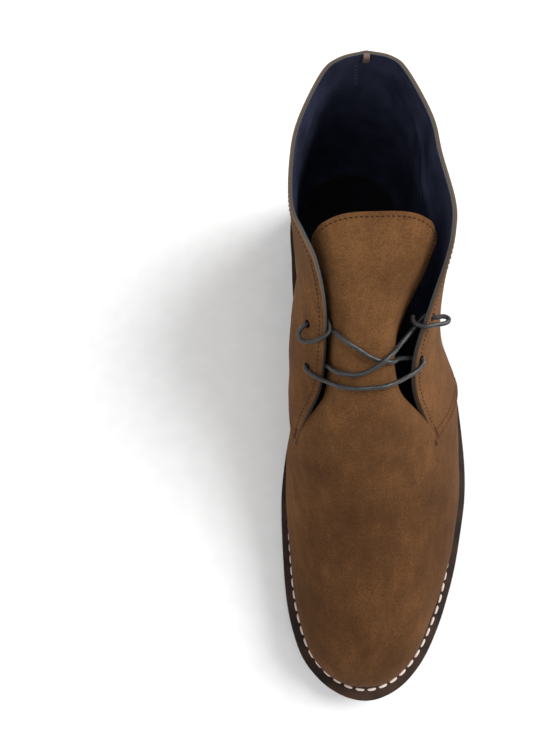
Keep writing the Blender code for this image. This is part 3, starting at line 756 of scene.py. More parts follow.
def crease_depth(point, creases):
    """How far the leather sinks at a point for soft creases drawn in plan."""
    here = (SOLE_LENGTH / 2 - point.y, point.x + MIDDLE_X)
    sink = 0.0
    for start, end, width, depth in creases:
        first = (start[0] * SOLE_LENGTH, start[1])
        last = (end[0] * SOLE_LENGTH, end[1])
        gap, t = segment_distance(here, first, last)
        sink += depth * faded(t, CREASE_END) * np.exp(-(gap / width)**2)
    return sink


def lining_ripple():
    """The shift of the lining's points for its wrinkles, as a function of the point."""
    lines = [(wall_place(side, index, place)[0], wall_place(side, far_index, far_place)[0], *size)
             for side, index, place, far_index, far_place, *size in LINING_WRINKLES]

    def shift(point):
        rise = 0.0
        for start, end, width, depth in lines:
            run = end - start
            t = min(max((point - start).dot(run) / run.length_squared, 0.0), 1.0)
            gap = (point - start - run * t).length
            rise -= depth * faded(t, WRINKLE_END) * np.exp(-(gap / width)**2)
        return rise
    return shift


def build_quarters(materials, hole_diameter):
    """Both quarters as one sheet round the heel: suede outside, lining inside, raw edges."""
    stations = quarter_stations()
    places = np.linspace(0, 1, LINE_ROWS)
    columns = [line_column(line_points(QUARTER, index, side), places)
               for side, index in stations]

    def thickness(column):
        return WALL + OVERLAY * overlay_share(stations[column][1])

    bm = new_sheet()
    add_sheet(bm, columns, thickness)
    grow_sheet(bm, world(*INSIDE_QUARTERS), lining_ripple())
    obj = finish("quarters", bm, materials, ("upper",), SHARP_LEATHER)
    punch_holes(obj, hole_diameter)
    return obj


def punch_holes(obj, diameter):
    """Cuts the four lace holes."""
    for name, side, index, place in EYELETS:
        point, outward = wall_place(side, index, place)
        bm = bmesh.new()
        bmesh.ops.create_cone(bm, cap_ends=True, segments=32, radius1=diameter / 2,
                              radius2=diameter / 2, depth=HOLE_DEPTH)
        for face in bm.faces:
            face.material_index = 2
        cutter = put(name, mesh_of(name, bm))
        cutter.location = point + outward * WALL / 2
        cutter.rotation_mode = "QUATERNION"
        cutter.rotation_quaternion = outward.to_track_quat("Z", "Y")
        bpy.context.view_layer.update()
        boolean = obj.modifiers.new(name, "BOOLEAN")
        boolean.operation = "DIFFERENCE"
        boolean.solver = "EXACT"
        boolean.object = cutter
        graph = bpy.context.evaluated_depsgraph_get()
        cut_mesh = bpy.data.meshes.new_from_object(obj.evaluated_get(graph))
        obj.modifiers.remove(boolean)
        obj.data = cut_mesh
        bpy.data.objects.remove(cutter, do_unlink=True)


def arch_points(side, rows):
    """The throat line on one side, from the corner to the ridge."""
    places = np.linspace(SHARE_CORNER, 1, rows)
    return line_column(line_points(RIDGE, 0, side), places)[1:]


def tongue_row(row, count):
    """Points across the tongue's underside at a place of TONGUE, lateral edge first."""
    back, rise, half, fall, offset, power = smooth_rows(TONGUE, row)
    low = feather_height(SHARE_THROAT * SOLE_LENGTH) + INSTEP_RISE
    high = feather_height(0) + SHAFT_HEIGHT
    corner = smooth_step(len(TONGUE) - 3, len(TONGUE) - 1, row) * TONGUE_CORNER
    roll = smooth_step(*TONGUE_ROLL_ROWS, row) * TONGUE_ROLL
    points = []
    for k in range(count):
        across = sin(pi / 2 * (1 - 2 * k / (count - 1)))
        x = (offset + half * across) * COLLAR_WIDTH
        z = low + rise * (high - low) - fall * COLLAR_WIDTH * abs(across)**power
        z -= roll * smooth_step(TONGUE_ROLL_START, 1.0, abs(across))
        s = back * SOLE_LENGTH + corner * across**4
        points.append(world(s, x, z - corner * across**4))
    return points


def tongue_columns(arch):
    """Lines from the throat up the tongue: they leave the vamp's edge and narrow to the tongue."""
    rows = [arch]
    start = Vector((0, arch[len(arch) // 2].y, arch[len(arch) // 2].z))
    for step in range(1, (len(TONGUE) - 1) * TONGUE_ROWS + 1):
        row = step / TONGUE_ROWS
        plain = tongue_row(row, len(arch))
        middle = plain[len(arch) // 2]
        carried = Vector((0, middle.y - start.y, middle.z - start.z))
        blend = smooth_step(0.0, TONGUE_FREE_ROW, row)
        rows.append([(point + carried).lerp(target, blend)
                     for point, target in zip(arch, plain)])
    return [list(column) for column in zip(*rows)]


def vamp_columns():
    """Lines of the vamp from the lateral seam over the toe to the medial seam."""
    wing = [r / (CORNER_LINE_ROW - 1) for r in range(CORNER_LINE_ROW)]
    above = LINE_ROWS - CORNER_LINE_ROW
    full = [SHARE_CORNER * r / (CORNER_LINE_ROW - 1) for r in range(CORNER_LINE_ROW)]
    full += [SHARE_CORNER + (1 - SHARE_CORNER) * r / above for r in range(1, above + 1)]
    lateral, medial = (
        [line_column(wing_points(k / WING_LINES, side), wing) for k in range(WING_LINES)]
        + [line_column(line_points(RIDGE, k / LINES_PER_ROW, side), full)
           for k in range((len(RIDGE) - 1) * LINES_PER_ROW + 1)]
        for side in (0, 1))
    return lateral + medial[-2::-1]


def build_vamp(materials):
    """Vamp and tongue, cut in one."""
    above = LINE_ROWS - CORNER_LINE_ROW + 1
    arch = arch_points(0, above) + arch_points(1, above)[-2::-1]
    bm = new_sheet()
    for columns in (vamp_columns(), tongue_columns(arch)):
        add_sheet(bm, columns, lambda column: WALL)
    bmesh.ops.remove_doubles(bm, verts=bm.verts, dist=MERGE)
    bm.normal_update()
    inside = world(*INSIDE_VAMP)
    face_outward(bm, inside)
    bm.normal_update()
    for vertex in bm.verts:
        vertex.co -= vertex.normal * crease_depth(vertex.co, VAMP_CREASES + TONGUE_CREASES)
    grow_sheet(bm, inside)
    return finish("vamp_and_tongue", bm, materials, ("tongue",), SHARP_LEATHER)


# Stitches


def stitch_run(name, path, ways, size, material):
    """A row of stitches along a path that lies on leather; ways are the leather's normals."""
    pitch, length, width, height = size
    at = walked(path)
    count = max(int(at[-1] / pitch), 1)
    pitch = at[-1] / count
    spots = np.array(path)
    normals = np.array(ways)
    rings, around, nudge = STITCH_DRAWING
    bm = bmesh.new()
    for k in range(count):
        start = k * pitch + (pitch - length) / 2
        loops = []
        for r in range(rings):
            share = r / (rings - 1)
            here = start + length * share
            spot, back, ahead = (Vector(between(distance, at, spots))
                                 for distance in (here, here - nudge, here + nudge))
            way = Vector(between(here, at, normals)).normalized()
            side = way.cross((ahead - back).normalized()).normalized()
            bulge = 1 - (2 * share - 1)**4
            centre = spot + way * height * (bulge - STITCH_SINK)
            reach = STITCH_END + (1 - STITCH_END) * bulge
            loops.append([bm.verts.new(centre + side * cos(turn) * width / 2 * reach
                                       + way * sin(turn) * height * reach)
                          for turn in np.linspace(0, 2 * pi, around, endpoint=False)])
        skin_tube(bm, loops)
    bmesh.ops.recalc_face_normals(bm, faces=bm.faces)
    return finish(name, bm, [material])


def surface_of(obj):
    """A piece's surface, for laying things on it."""
    return BVHTree.FromObject(obj, bpy.context.evaluated_depsgraph_get())


def laid_on(surface, points):
    """The points moved onto a surface, with its normals there."""
    found = [surface.find_nearest(point) for point in points]
    return [spot for spot, *_ in found], [way for _, way, *_ in found]


def down_line(side, index, distance):
    """Point of the quarter's outer face a distance below its upper edge."""
    places = np.linspace(1, 0, DOWN_STEPS)
    spots = line_column(line_points(QUARTER, index, side), places)[1:]
    return outer_point(side, index, np.interp(distance, walked(spots), places))


def outer_point(side, index, place):
    point, outward = wall_place(side, index, min(place, PLACE_LIMIT))
    return point + outward * (WALL + OVERLAY * overlay_share(index))


def build_stitches(quarters, vamp, thread, tack, grey):
    """The stitches of the collar's edge, both seams with their tacks, back seam and tongue."""
    on_quarters = surface_of(quarters)
    last = len(QUARTER) - 1
    edge = [down_line(side, index, EDGE_STITCH_DROP) for side, index in quarter_stations()
            if index < last - EDGE_STITCH_END]
    stitch_run("edge_stitches", *laid_on(on_quarters, edge), SEWING, thread)
    for side, side_name in enumerate(("lateral", "medial")):
        for row, back in enumerate(SEAM_STITCH_ROWS):
            line = [outer_point(side, last - back, place)
                    for place in np.linspace(*SEAM_STITCH_PLACES, SEAM_POINTS)]
            stitch_run(f"seam_stitches_{side_name}_{row + 1}", *laid_on(on_quarters, line),
                       SEWING, thread)
        corner = [outer_point(side, last - back, TACK_PLACE)
                  for back in np.linspace(*TACK_ROWS, SHORT_POINTS)]
        stitch_run(f"bar_tack_{side_name}", *laid_on(on_quarters, corner), TACKING, tack)
    inner = [wall_place(1, index, place) for index, place in
             np.linspace(*zip(BACK_SEAM_INDEX, BACK_SEAM_PLACES), SHORT_POINTS)]
    stitch_run("back_seam_stitches", [point for point, _ in inner],
               [-outward for _, outward in inner], LADDER, grey)
    high = len(TONGUE) - TONGUE_STITCH_ROW
    rows = [tongue_row(row, SEAM_POINTS + 1)[TONGUE_STITCH_IN:-TONGUE_STITCH_IN]
            for row in np.linspace(high - TONGUE_STITCH_DOWN, high, SHORT_POINTS)]
    top = [row[0] for row in rows[:-1]] + rows[-1] + [row[-1] for row in rows[-2::-1]]
    lifted = [point + Vector((0, -0.5, 1)).normalized() * WALL for point in top]
    stitch_run("tongue_stitches", *laid_on(surface_of(vamp), lifted), SEWING, thread)


def build_welt_stitches(thread):
    """The light stitches on the welt, round the forepart from the breast of the heel."""
    near, far = WELT_STITCH_FROM
    forward = np.clip((EDGE[:, 0] / SOLE_LENGTH - near) / (far - near), 0, 1)
    outward = np.clip(EDGE[:, 1] / WELT_STITCH_REACH, 0, 1) * forward
    ring = inset_outline(WELT_STITCH_INSET, WELT_STITCH_SHARE - WELT_STITCH_SHIFT * outward)
    lateral, medial = side_lines(ring)
    spots = [world(s, x, welt_top(s)) for s, x in (*lateral, *medial[::-1])
             if s > SHARE_BREAST * SOLE_LENGTH]
    stitch_run("welt_stitches", spots, [Vector((0, 0, 1))] * len(spots), WELTING, thread)


# The bottom


def plate(name, outline, end, underside, thickness, material, replaces):
    """A layer of the bottom inside an outline, from the heel to the distance end or the toe.
    Its rows lie closest where its ends are round."""
    lateral, medial = side_lines(outline)
    start = lateral[0, 0]
    stop = end or lateral[-1, 0]
    round_ends = 1 if end else 2
    rows = []
    for row in range(PLATE_ROWS + 1):
        share = (1 - cos(pi * row / PLATE_ROWS * round_ends / 2)) / round_ends
        s = start + (stop - start) * share
        outer = np.interp(s, lateral[:, 0], lateral[:, 1])
        inner = np.interp(s, medial[:, 0], medial[:, 1])
        rows.append([world(s, inner + (outer - inner) * c / PLATE_COLUMNS, underside(s))
                     for c in range(PLATE_COLUMNS + 1)])
    bm = new_sheet()
    add_sheet(bm, rows, lambda column: thickness)
    bmesh.ops.remove_doubles(bm, verts=bm.verts, dist=MERGE)
    grown = bmesh.ops.extrude_face_region(bm, geom=bm.faces[:])["geom"]
    top = [item for item in grown if isinstance(item, bmesh.types.BMVert)]
    bmesh.ops.translate(bm, verts=top, vec=(0, 0, thickness))
    bmesh.ops.recalc_face_normals(bm, faces=bm.faces)
    soften(finish(name, bm, [material], (replaces,), SHARP_SOLE), EDGE_BEVEL)


def build_welt(material):
    """The strip round the upper that carries the light stitches."""
    inner = inset_outline(WELT_REACH)
    columns = []
    for k in range(0, len(EDGE) + WELT_STRIDE, WELT_STRIDE):
        index = k % len(EDGE)
        column = []
        for across, up in ((0, 0), (1, 0), (1, 1), (0, 1), (0, 0)):
            s, x = inner[index] + (EDGE[index] - inner[index]) * across
            column.append(world(s, x, bottom_height(s) + OUTSOLE_THICK + GAP + WELT_THICK * up))
        columns.append(column)
    bm = new_sheet()
    add_sheet(bm, columns, lambda column: 0.0)
    bmesh.ops.remove_doubles(bm, verts=bm.verts, dist=MERGE)
    bmesh.ops.recalc_face_normals(bm, faces=bm.faces)
    soften(finish("welt_strip", bm, [material], ("welt",), SHARP_SOLE),
           WELT_BEVEL)


def build_bottom(paints):
    """Outsole, heel block, its top piece and the sock."""
    inset = inset_outline(0.0, HEEL_INSET)
    breast = (SHARE_BREAST - HEEL_BACK) * SOLE_LENGTH
    base = TOP_PIECE_THICK + GAP
    plate("sole", EDGE, None, bottom_height, OUTSOLE_THICK, paints["sole"], "outsole")
    plate("heel", inset, breast, lambda s: base, SEAT_HEIGHT - GAP - base, paints["stack"],
          "heel_block")
    plate("top_piece", inset, breast, lambda s: 0.0, TOP_PIECE_THICK, paints["rubber"],
          "heel_top_piece")
    plate("sock", inset_outline(SOCK_INSET * GAP), None,
          lambda s: bottom_height(s) + OUTSOLE_THICK + GAP, INSOLE_THICK, paints["sock"],
          "insole")


# The lace


def lace_route(diameter):
    """The lace's middle line from one hidden end, through the holes, to the other."""
    holes = {}
    clear = diameter * LACE_CLEAR
    for name, side, index, place in EYELETS:
        point, outward = wall_place(side, index, place)
        thick = WALL + OVERLAY * overlay_share(index)
        holes[name] = (point + outward * (thick + clear), point + outward * thick / 2,
                       point - outward * clear)
    return (LACE_LOOP_MEDIAL + holes["medial_high"] + LACE_HIDDEN_MEDIAL + LACE_UNDER
            + holes["lateral_low"][::-1] + LACE_BAR[-2:0:-1] + holes["medial_low"]
            + LACE_HIDDEN_START + LACE_OVER + LACE_HIDDEN_LATERAL
            + holes["lateral_high"][::-1] + LACE_LOOP_LATERAL[::-1])


def build_lace(material, diameter):
    """One round waxed cord with a fine braid in its surface."""
    route = [tuple(point) for point in lace_route(diameter)]
    path = [Vector(smooth_rows(route, k / LACE_POINTS))
            for k in range((len(route) - 1) * LACE_POINTS + 1)]
    at = walked(path)
    count = int(at[-1] / LACE_STEP)
    spots = np.array(path)
    centres = [Vector(between(at[-1] * k / count, at, spots)) for k in range(count + 1)]
    for _ in range(LACE_EASING):
        centres[1:-1] = [(before + here * 2 + after) / 4 for before, here, after
                         in zip(centres, centres[1:], centres[2:])]
    around, strands, pitch, relief = BRAID
    bm = bmesh.new()
    loops = []
    side = Vector((0, 0, 1))
    for k, centre in enumerate(centres):
        ahead = centres[min(k + 1, count)] - centres[max(k - 1, 0)]
        ahead.normalize()
        side = side - ahead * ahead.dot(side)
        side.normalize()
        up = ahead.cross(side)
        turn = 2 * pi * at[-1] * k / count / pitch
        loop = []
        for j in range(around):
            angle = 2 * pi * j / around
            plait = max(cos(strands * angle + turn), cos(strands * angle - turn))
            radius = diameter / 2 * (1 - relief + relief * plait)
            loop.append(bm.verts.new(centre + (side * cos(angle) + up * sin(angle)) * radius))
        loops.append(loop)
    skin_tube(bm, loops)
    bmesh.ops.recalc_face_normals(bm, faces=bm.faces)
    obj = finish("lace", bm, [material], ("lace_bar", "lace_crossing", "lace_loop_medial",
                                          "lace_loop_lateral"))
    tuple(centres[0])
    float(walked(centres)[-1])


# Small trim


def build_tab(material):
    """The small folded tab at the back of the collar."""
    lowest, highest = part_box("back_tab")
    centre = (lowest + highest) / 2
    reach = (highest.y - lowest.y) * TAB_DEPTH
    front, fold, rise, back = ((highest.z - lowest.z) * share for share in TAB_LEVELS)
    profile = [Vector((0, reach * cos(turn), fold + rise * sin(turn)))
               for turn in np.linspace(0, pi, TAB_FOLD_POINTS)]
    profile = [Vector((0, reach, front)), *profile, Vector((0, -reach, back))]
    columns = [[centre + point + Vector((TAB_WIDTH * TAB_HALF * across, 0, 0))
                for point in profile] for across in np.linspace(-1, 1, TAB_COLUMNS)]
    bm = new_sheet()
    add_sheet(bm, columns, lambda column: TAB_THICK)
    grow_sheet(bm, centre)
    soften(finish("folded_tab", bm, [material] * 3, ("back_tab",)), TAB_BEVEL)


# Materials. Sizes of their patterns in metres, from the real ones

# Patches of uneven dye on one skin of suede, 30 mm, and strokes of its brushed nap, 5 mm long
DYE_PATCH = 0.030
BRUSH_STROKE = 0.005

# Tufts of the nap, really about 0.3 mm, drawn at 0.8 mm so that they show
NAP_TUFT = 0.0008

# Smooth leather: dye patches of 12 mm, waves of 4 mm where it has creased, and pores, really
# about 0.2 mm, drawn at 0.7 mm so that they show
LEATHER_PATCH = 0.012
LEATHER_WAVE = 0.004
LEATHER_PORE = 0.0007

# The cut edge: the knife's wobble of 0.8 mm, and its fuzz, drawn at 0.35 mm so that it shows
CUT_WOBBLE = 0.0008
CUT_FUZZ = 0.00035

# Fibres of cord and thread, really about 0.02 mm, drawn at 0.5 and 0.4 mm so that they show
CORD_FIBRE = 0.0005
THREAD_FIBRE = 0.0004

# Stacked heel: half a lift, as each is 4.8 mm, half the line between two, and grain of 3 mm
LIFT_HALF = 0.0024
LIFT_LINE = 0.00018
LIFT_GRAIN = 0.003

# Specks in the moulded rubber, 1.2 mm, and in the paper of the floor, 10 mm
RUBBER_SPECK = 0.0012
PAPER_SPECK = 0.01


def feed(tree, node, sockets):
    """Sets a node's inputs, each to a value or to the node or output that feeds it."""
    for key, value in sockets.items():
        if isinstance(value, bpy.types.Node):
            value = value.outputs[0]
        if isinstance(value, bpy.types.NodeSocket):
            tree.links.new(value, node.inputs[key])
        else:
            node.inputs[key].default_value = value


def add(tree, kind, sockets, stops=(), **settings):
    """Adds a shader node with its settings, its inputs and, on a ramp, its places and colours."""
    node = tree.nodes.new("ShaderNode" + kind)
    for key, value in settings.items():
        setattr(node, key, value)
    while stops and len(node.color_ramp.elements) < len(stops):
        node.color_ramp.elements.new(0.5)
    for k, (position, colour) in enumerate(stops):
        node.color_ramp.elements[k].position = position
        node.color_ramp.elements[k].color = hue(colour)
    feed(tree, node, sockets)
    return node


def new_material(name):
    """A new material with its node tree, its shader and the place on the object."""
    material = bpy.data.materials.new(name)
    material.use_nodes = True
    tree = material.node_tree
    place = add(tree, "TexCoord", {}).outputs["Object"]
    return material, tree, tree.nodes["Principled BSDF"], place


def suede(name, dark, middle, light):
    """Cow split leather brushed to a short nap: cloudy dye, lighter and darker strokes, matt with
    a faint warm sheen, and painted shade that darkens it a little towards the toe."""
    material, tree, shader, place = new_material(name)
    cloud = add(tree, "TexNoise", {"Vector": place, "Scale": 1 / DYE_PATCH, "Detail": 2.0})
    combed = add(tree, "Mapping", {"Vector": place, "Scale": (1.0, 0.45, 1.0)})
    brushed = add(tree, "TexNoise", {"Vector": combed, "Scale": 1 / BRUSH_STROKE,
                                     "Detail": 4.0, "Roughness": 0.6})
    nap = add(tree, "TexNoise", {"Vector": place, "Scale": 1 / NAP_TUFT, "Detail": 3.0,
                                 "Roughness": 0.75})
    blend = add(tree, "Math", {0: cloud, 1: 0.34}, operation="MULTIPLY")
    for source, weight in ((brushed, 0.22), (nap, 0.44)):
        part = add(tree, "Math", {0: source, 1: weight}, operation="MULTIPLY")
        blend = add(tree, "Math", {0: blend, 1: part}, operation="ADD")
    colour = add(tree, "ValToRGB", {"Fac": blend}, ((0.32, dark), (0.50, middle), (0.68, light)))
    # Painted shade: the colour is multiplied darker towards the toe, where less light falls on the
    # boot
    lengthwise = add(tree, "SeparateXYZ", {"Vector": place}).outputs["Y"]
    painted_toe_shade = add(tree, "MapRange", {"Value": lengthwise, "From Min": 0.005, "From Max": -0.06})
    shaded = add(tree, "Mix", {0: painted_toe_shade, 6: colour, 7: hue("D8D4D0")}, data_type="RGBA",
                 blend_type="MULTIPLY")
    short = add(tree, "Bump", {"Height": nap, "Distance": 0.00035, "Strength": 1.0})
    relief = add(tree, "Bump", {"Height": brushed, "Distance": 0.0005, "Strength": 0.2,
                                "Normal": short})
    feed(tree, shader, {"Base Color": shaded.outputs[2], "Normal": relief, "Roughness": 0.95,
                        "Sheen Weight": 0.10, "Sheen Roughness": 0.5,
                        "Sheen Tint": hue("A8794E"), "Specular IOR Level": 0.12})
    return material


def smooth_leather(name, dark, light, roughness, shine=0.45):
    """Dyed calf leather, plated smooth: soft gloss that its fine pores and waves break up."""
    material, tree, shader, place = new_material(name)
    cloud = add(tree, "TexNoise", {"Vector": place, "Scale": 1 / LEATHER_PATCH, "Detail": 3.0})
    colour = add(tree, "ValToRGB", {"Fac": cloud}, ((0.35, dark), (0.68, light)))
    pores = add(tree, "TexVoronoi", {"Vector": place, "Scale": 1 / LEATHER_PORE})
    waves = add(tree, "TexNoise", {"Vector": place, "Scale": 1 / LEATHER_WAVE, "Detail": 3.0})
    uneven = add(tree, "Math", {0: cloud, 1: 0.18}, operation="MULTIPLY")
    rough = add(tree, "Math", {0: uneven, 1: roughness - 0.09}, operation="ADD")
    fine = add(tree, "Bump", {"Height": pores, "Distance": 0.00008, "Strength": 0.5})
    relief = add(tree, "Bump", {"Height": waves, "Distance": 0.0003, "Strength": 0.35,
                                "Normal": fine})
    feed(tree, shader, {"Base Color": colour, "Roughness": rough, "Normal": relief,
                        "Specular IOR Level": shine})
    return material


def raw_edge(name):
    """The cut edge of suede glued to its lining: brown nap, dark glue line, pale split, navy."""
    material, tree, shader, place = new_material(name)
    depth = add(tree, "Attribute", {}, attribute_name="depth").outputs["Fac"]
    knife = add(tree, "TexNoise", {"Vector": place, "Scale": 1 / CUT_WOBBLE, "Detail": 2.0})
    wobble = add(tree, "Math", {0: knife, 1: 0.16}, operation="MULTIPLY")
    moved = add(tree, "Math", {0: depth, 1: wobble}, operation="ADD")
    layer = add(tree, "Math", {0: moved, 1: 0.08}, operation="SUBTRACT")
    colour = add(tree, "ValToRGB", {"Fac": layer}, (
        (0.12, "1A1D28"), (0.18, "43464A"), (0.30, "53534D"), (0.38, "201812"),
        (0.46, "4A3C2F"), (0.95, "5E4A38")))
    fuzz = add(tree, "TexNoise", {"Vector": place, "Scale": 1 / CUT_FUZZ, "Detail": 2.0})
    relief = add(tree, "Bump", {"Height": fuzz, "Distance": 0.0002, "Strength": 0.8})
    feed(tree, shader, {"Base Color": colour, "Normal": relief, "Roughness": 0.85})
    return material


def waxed_cord(name):
    """Braided cotton cord, waxed: charcoal, with a broken gloss along its fibres."""
    material, tree, shader, place = new_material(name)
    fibre = add(tree, "TexNoise", {"Vector": place, "Scale": 1 / CORD_FIBRE, "Detail": 3.0})
    colour = add(tree, "ValToRGB", {"Fac": fibre}, ((0.3, "1B1B1C"), (0.7, "303032")))
    uneven = add(tree, "Math", {0: fibre, 1: 0.25}, operation="MULTIPLY")
    rough = add(tree, "Math", {0: uneven, 1: 0.30}, operation="ADD")
    relief = add(tree, "Bump", {"Height": fibre, "Distance": 0.00006, "Strength": 0.6})
    feed(tree, shader, {"Base Color": colour, "Roughness": rough, "Normal": relief,
                        "Specular IOR Level": 0.5})
    return material


def thread(name, dark, light):
    """Twisted polyester sewing thread: matt, with its fibres just seen."""
    material, tree, shader, place = new_material(name)
    fibre = add(tree, "TexNoise", {"Vector": place, "Scale": 1 / THREAD_FIBRE, "Detail": 3.0})
    colour = add(tree, "ValToRGB", {"Fac": fibre}, ((0.3, dark), (0.7, light)))
    relief = add(tree, "Bump", {"Height": fibre, "Distance": 0.0001, "Strength": 0.6})
    feed(tree, shader, {"Base Color": colour, "Normal": relief, "Roughness": 0.7,
                        "Specular IOR Level": 0.15})
    return material


def stacked_leather(name):
    """Heel lifts of sole leather, stacked, stained dark: thin darker lines where they meet."""
    material, tree, shader, place = new_material(name)
    height = add(tree, "SeparateXYZ", {"Vector": place}).outputs["Z"]
    lifts = add(tree, "Math", {0: height, 1: LIFT_HALF}, operation="PINGPONG")
    line = add(tree, "Math", {0: lifts, 1: LIFT_LINE}, operation="LESS_THAN")
    flat = add(tree, "Mapping", {"Vector": place, "Scale": (1.0, 1.0, 6.0)})
    cloud = add(tree, "TexNoise", {"Vector": flat, "Scale": 1 / LIFT_GRAIN, "Detail": 3.0})
    body = add(tree, "ValToRGB", {"Fac": cloud}, ((0.35, "140C08"), (0.7, "20140E")))
    colour = add(tree, "Mix", {0: line, 6: body, 7: hue("120B08")}, data_type="RGBA")
    relief = add(tree, "Bump", {"Height": cloud, "Distance": 0.0002, "Strength": 0.3})
    feed(tree, shader, {"Base Color": colour.outputs[2], "Normal": relief, "Roughness": 0.5,
                        "Specular IOR Level": 0.2})
    return material


def rubber(name):
    """Moulded heel rubber: matt black, with grey specks from wear."""
    material, tree, shader, place = new_material(name)
    speck = add(tree, "TexNoise", {"Vector": place, "Scale": 1 / RUBBER_SPECK, "Detail": 2.0})
    colour = add(tree, "ValToRGB", {"Fac": speck}, ((0.35, "121112"), (0.7, "1C1B1B")))
    relief = add(tree, "Bump", {"Height": speck, "Distance": 0.0001, "Strength": 0.4})
    feed(tree, shader, {"Base Color": colour, "Normal": relief, "Roughness": 0.75})
    return material


def paper(name):
    """Matt white background paper, as good as even."""
    material, tree, shader, place = new_material(name)
    speck = add(tree, "TexNoise", {"Vector": place, "Scale": 1 / PAPER_SPECK, "Detail": 2.0})
    colour = add(tree, "ValToRGB", {"Fac": speck}, ((0.3, "F4F4F4"), (0.7, "F8F8F8")))
    feed(tree, shader, {"Base Color": colour, "Roughness": 0.9})
    return material


# Studio


def build_stage():
    """A plain pale floor, soft light from above and the camera at the photo's place."""
    bm = bmesh.new()
    bmesh.ops.create_grid(bm, x_segments=2, y_segments=2, size=FLOOR_SIZE)
    floor = put("floor", mesh_of("floor", bm))
    floor.data.materials.append(paper("matt white paper"))
    floor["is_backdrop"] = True
    for name, location, size, power in LAMPS:
        data = bpy.data.lights.new(name, "AREA")
        data.shape = "DISK"
        data.size = size
        data.energy = power
        lamp = put(name, data)
        lamp.location = location
        lamp.rotation_euler = (-Vector(location)).to_track_quat("-Z", "Y").to_euler()
    scene = bpy.context.scene
    scene.world = bpy.data.worlds.new("pale studio")
    scene.world.use_nodes = True
    feed(scene.world.node_tree, scene.world.node_tree.nodes["Background"],
         {"Color": hue("FFFFFF"), "Strength": STUDIO_LIGHT})
    scene.view_settings.view_transform = "Standard"
    data = bpy.data.cameras.new("camera")
    data.lens = CAMERA_LENS
    data.sensor_width = CAMERA_SENSOR
    data.clip_start = CAMERA_NEAR
    scene.camera = put("camera", data)
    scene.camera.location = CAMERA_PLACE
    scene.camera.rotation_euler = Euler([radians(turn) for turn in CAMERA_TURN])


# Settings, operators and panel. PIECES keeps the pieces that later steps sew on

PIECES = {}


class BootLooks(bpy.types.PropertyGroup):
    """The boot's colours and sizes that a user would change."""
    suede_middle: bpy.props.StringProperty(
        name="Suede", description="Middle colour of the suede's nap, as sRGB hex",
        default="614126")
    lining: bpy.props.StringProperty(
        name="Lining", description="Light colour of the lining leather, as sRGB hex",
        default="3A3E54")
    welt_thread: bpy.props.StringProperty(
        name="Welt thread", description="Light colour of the welt's stitches, as sRGB hex",
        default="EFE0D6")
    lace_diameter: bpy.props.FloatProperty(
        name="Lace diameter", description="Thickness of the round lace",
        default=LACE_DIAMETER, precision=4, unit="LENGTH")
    hole_diameter: bpy.props.FloatProperty(
        name="Hole diameter", description="Width of the four punched lace holes",
        default=HOLE_DIAMETER, precision=4, unit="LENGTH")


class BOOT_OT_lace(bpy.types.Operator):
    """Lays the lace through its holes"""
    bl_idname = "boot.lace"
    bl_label = "Lace"

    def execute(self, context):
        diameter = round(context.scene.boot_looks.lace_diameter, 6)
        build_lace(waxed_cord("waxed round cord"), diameter)
        return {"FINISHED"}


class BOOT_OT_upper(bpy.types.Operator):
    """Makes the quarters, the vamp and the tongue"""
    bl_idname = "boot.upper"
    bl_label = "Upper"

    def execute(self, context):
        looks = context.scene.boot_looks
        outer = suede("brown suede", "462D1B", looks.suede_middle, "825A36")
        lining = smooth_leather("navy lining leather", "292C3E", looks.lining, 0.36, 0.55)
        edge = raw_edge("raw cut edge")
        flesh = suede("suede underside", "33241A", "463425", "5A4633")
        PIECES["quarters"] = build_quarters([outer, lining, edge], looks.hole_diameter)
        PIECES["vamp"] = build_vamp([outer, flesh, edge])
        return {"FINISHED"}


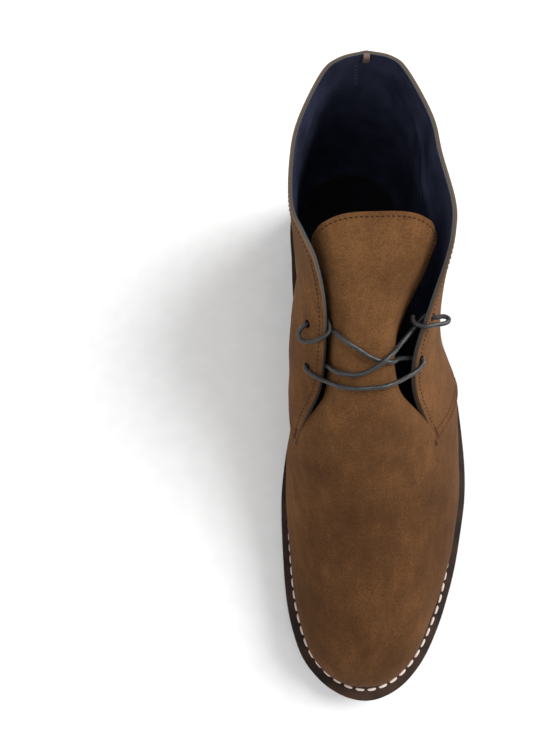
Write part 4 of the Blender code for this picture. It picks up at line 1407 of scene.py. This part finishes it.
class BOOT_OT_bottom(bpy.types.Operator):
    """Makes the outsole, the heel, the sock and the welt"""
    bl_idname = "boot.bottom"
    bl_label = "Bottom"

    def execute(self, context):
        build_bottom({
            "sole": smooth_leather("dark sole leather", "0A0706", "17100D", 0.42, 0.15),
            "stack": stacked_leather("stacked heel leather"),
            "rubber": rubber("heel rubber"),
            # The sock's colours are near black as painted shade of the boot's dark inside
            "sock": smooth_leather("sock leather", "0A0B10", "10121A", 0.75, 0.2),
        })
        build_welt(smooth_leather("brown welt leather", "180E09", "3A2418", 0.5, 0.2))
        return {"FINISHED"}


class BOOT_OT_stitches(bpy.types.Operator):
    """Sews the upper and the welt, once the upper is there"""
    bl_idname = "boot.stitches"
    bl_label = "Stitches"

    def execute(self, context):
        build_stitches(PIECES["quarters"], PIECES["vamp"],
                       thread("dark brown thread", "26160C", "422918"),
                       thread("red brown thread", "462818", "603622"),
                       thread("grey thread", "2C2E36", "444852"))
        build_welt_stitches(thread("pale waxed thread", "CDB6A8",
                                   context.scene.boot_looks.welt_thread))
        return {"FINISHED"}


class BOOT_OT_trim(bpy.types.Operator):
    """Folds the small tab at the back of the collar"""
    bl_idname = "boot.trim"
    bl_label = "Trim"

    def execute(self, context):
        build_tab(smooth_leather("tab leather", "54423C", "6E5850", 0.6))
        return {"FINISHED"}


class BOOT_OT_stage(bpy.types.Operator):
    """Sets up the floor, the lamps and the camera"""
    bl_idname = "boot.stage"
    bl_label = "Studio"

    def execute(self, context):
        build_stage()
        return {"FINISHED"}


class BOOT_PT_panel(bpy.types.Panel):
    """Lists the boot's settings and the steps that make it"""
    bl_label = "Chukka boot"
    bl_space_type = "VIEW_3D"
    bl_region_type = "UI"
    bl_category = "Boot"

    def draw(self, context):
        looks = context.scene.boot_looks
        for name in BootLooks.__annotations__:
            self.layout.prop(looks, name)
        for step in STEPS:
            self.layout.operator(step.bl_idname)


STEPS = (BOOT_OT_stage, BOOT_OT_lace, BOOT_OT_upper, BOOT_OT_bottom, BOOT_OT_stitches,
         BOOT_OT_trim)
CLASSES = (BootLooks, *STEPS, BOOT_PT_panel)


def register():
    for cls in CLASSES:
        bpy.utils.register_class(cls)
    bpy.types.Scene.boot_looks = bpy.props.PointerProperty(type=BootLooks)


def unregister():
    del bpy.types.Scene.boot_looks
    for cls in reversed(CLASSES):
        bpy.utils.unregister_class(cls)


def main():
    register()
    for step in STEPS:
        getattr(bpy.ops.boot, step.bl_idname.split(".")[1])()
    boxes = [[list(corner) for corner in box] for box in (CAD_BOX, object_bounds())]


if __name__ == "__main__":
    main()
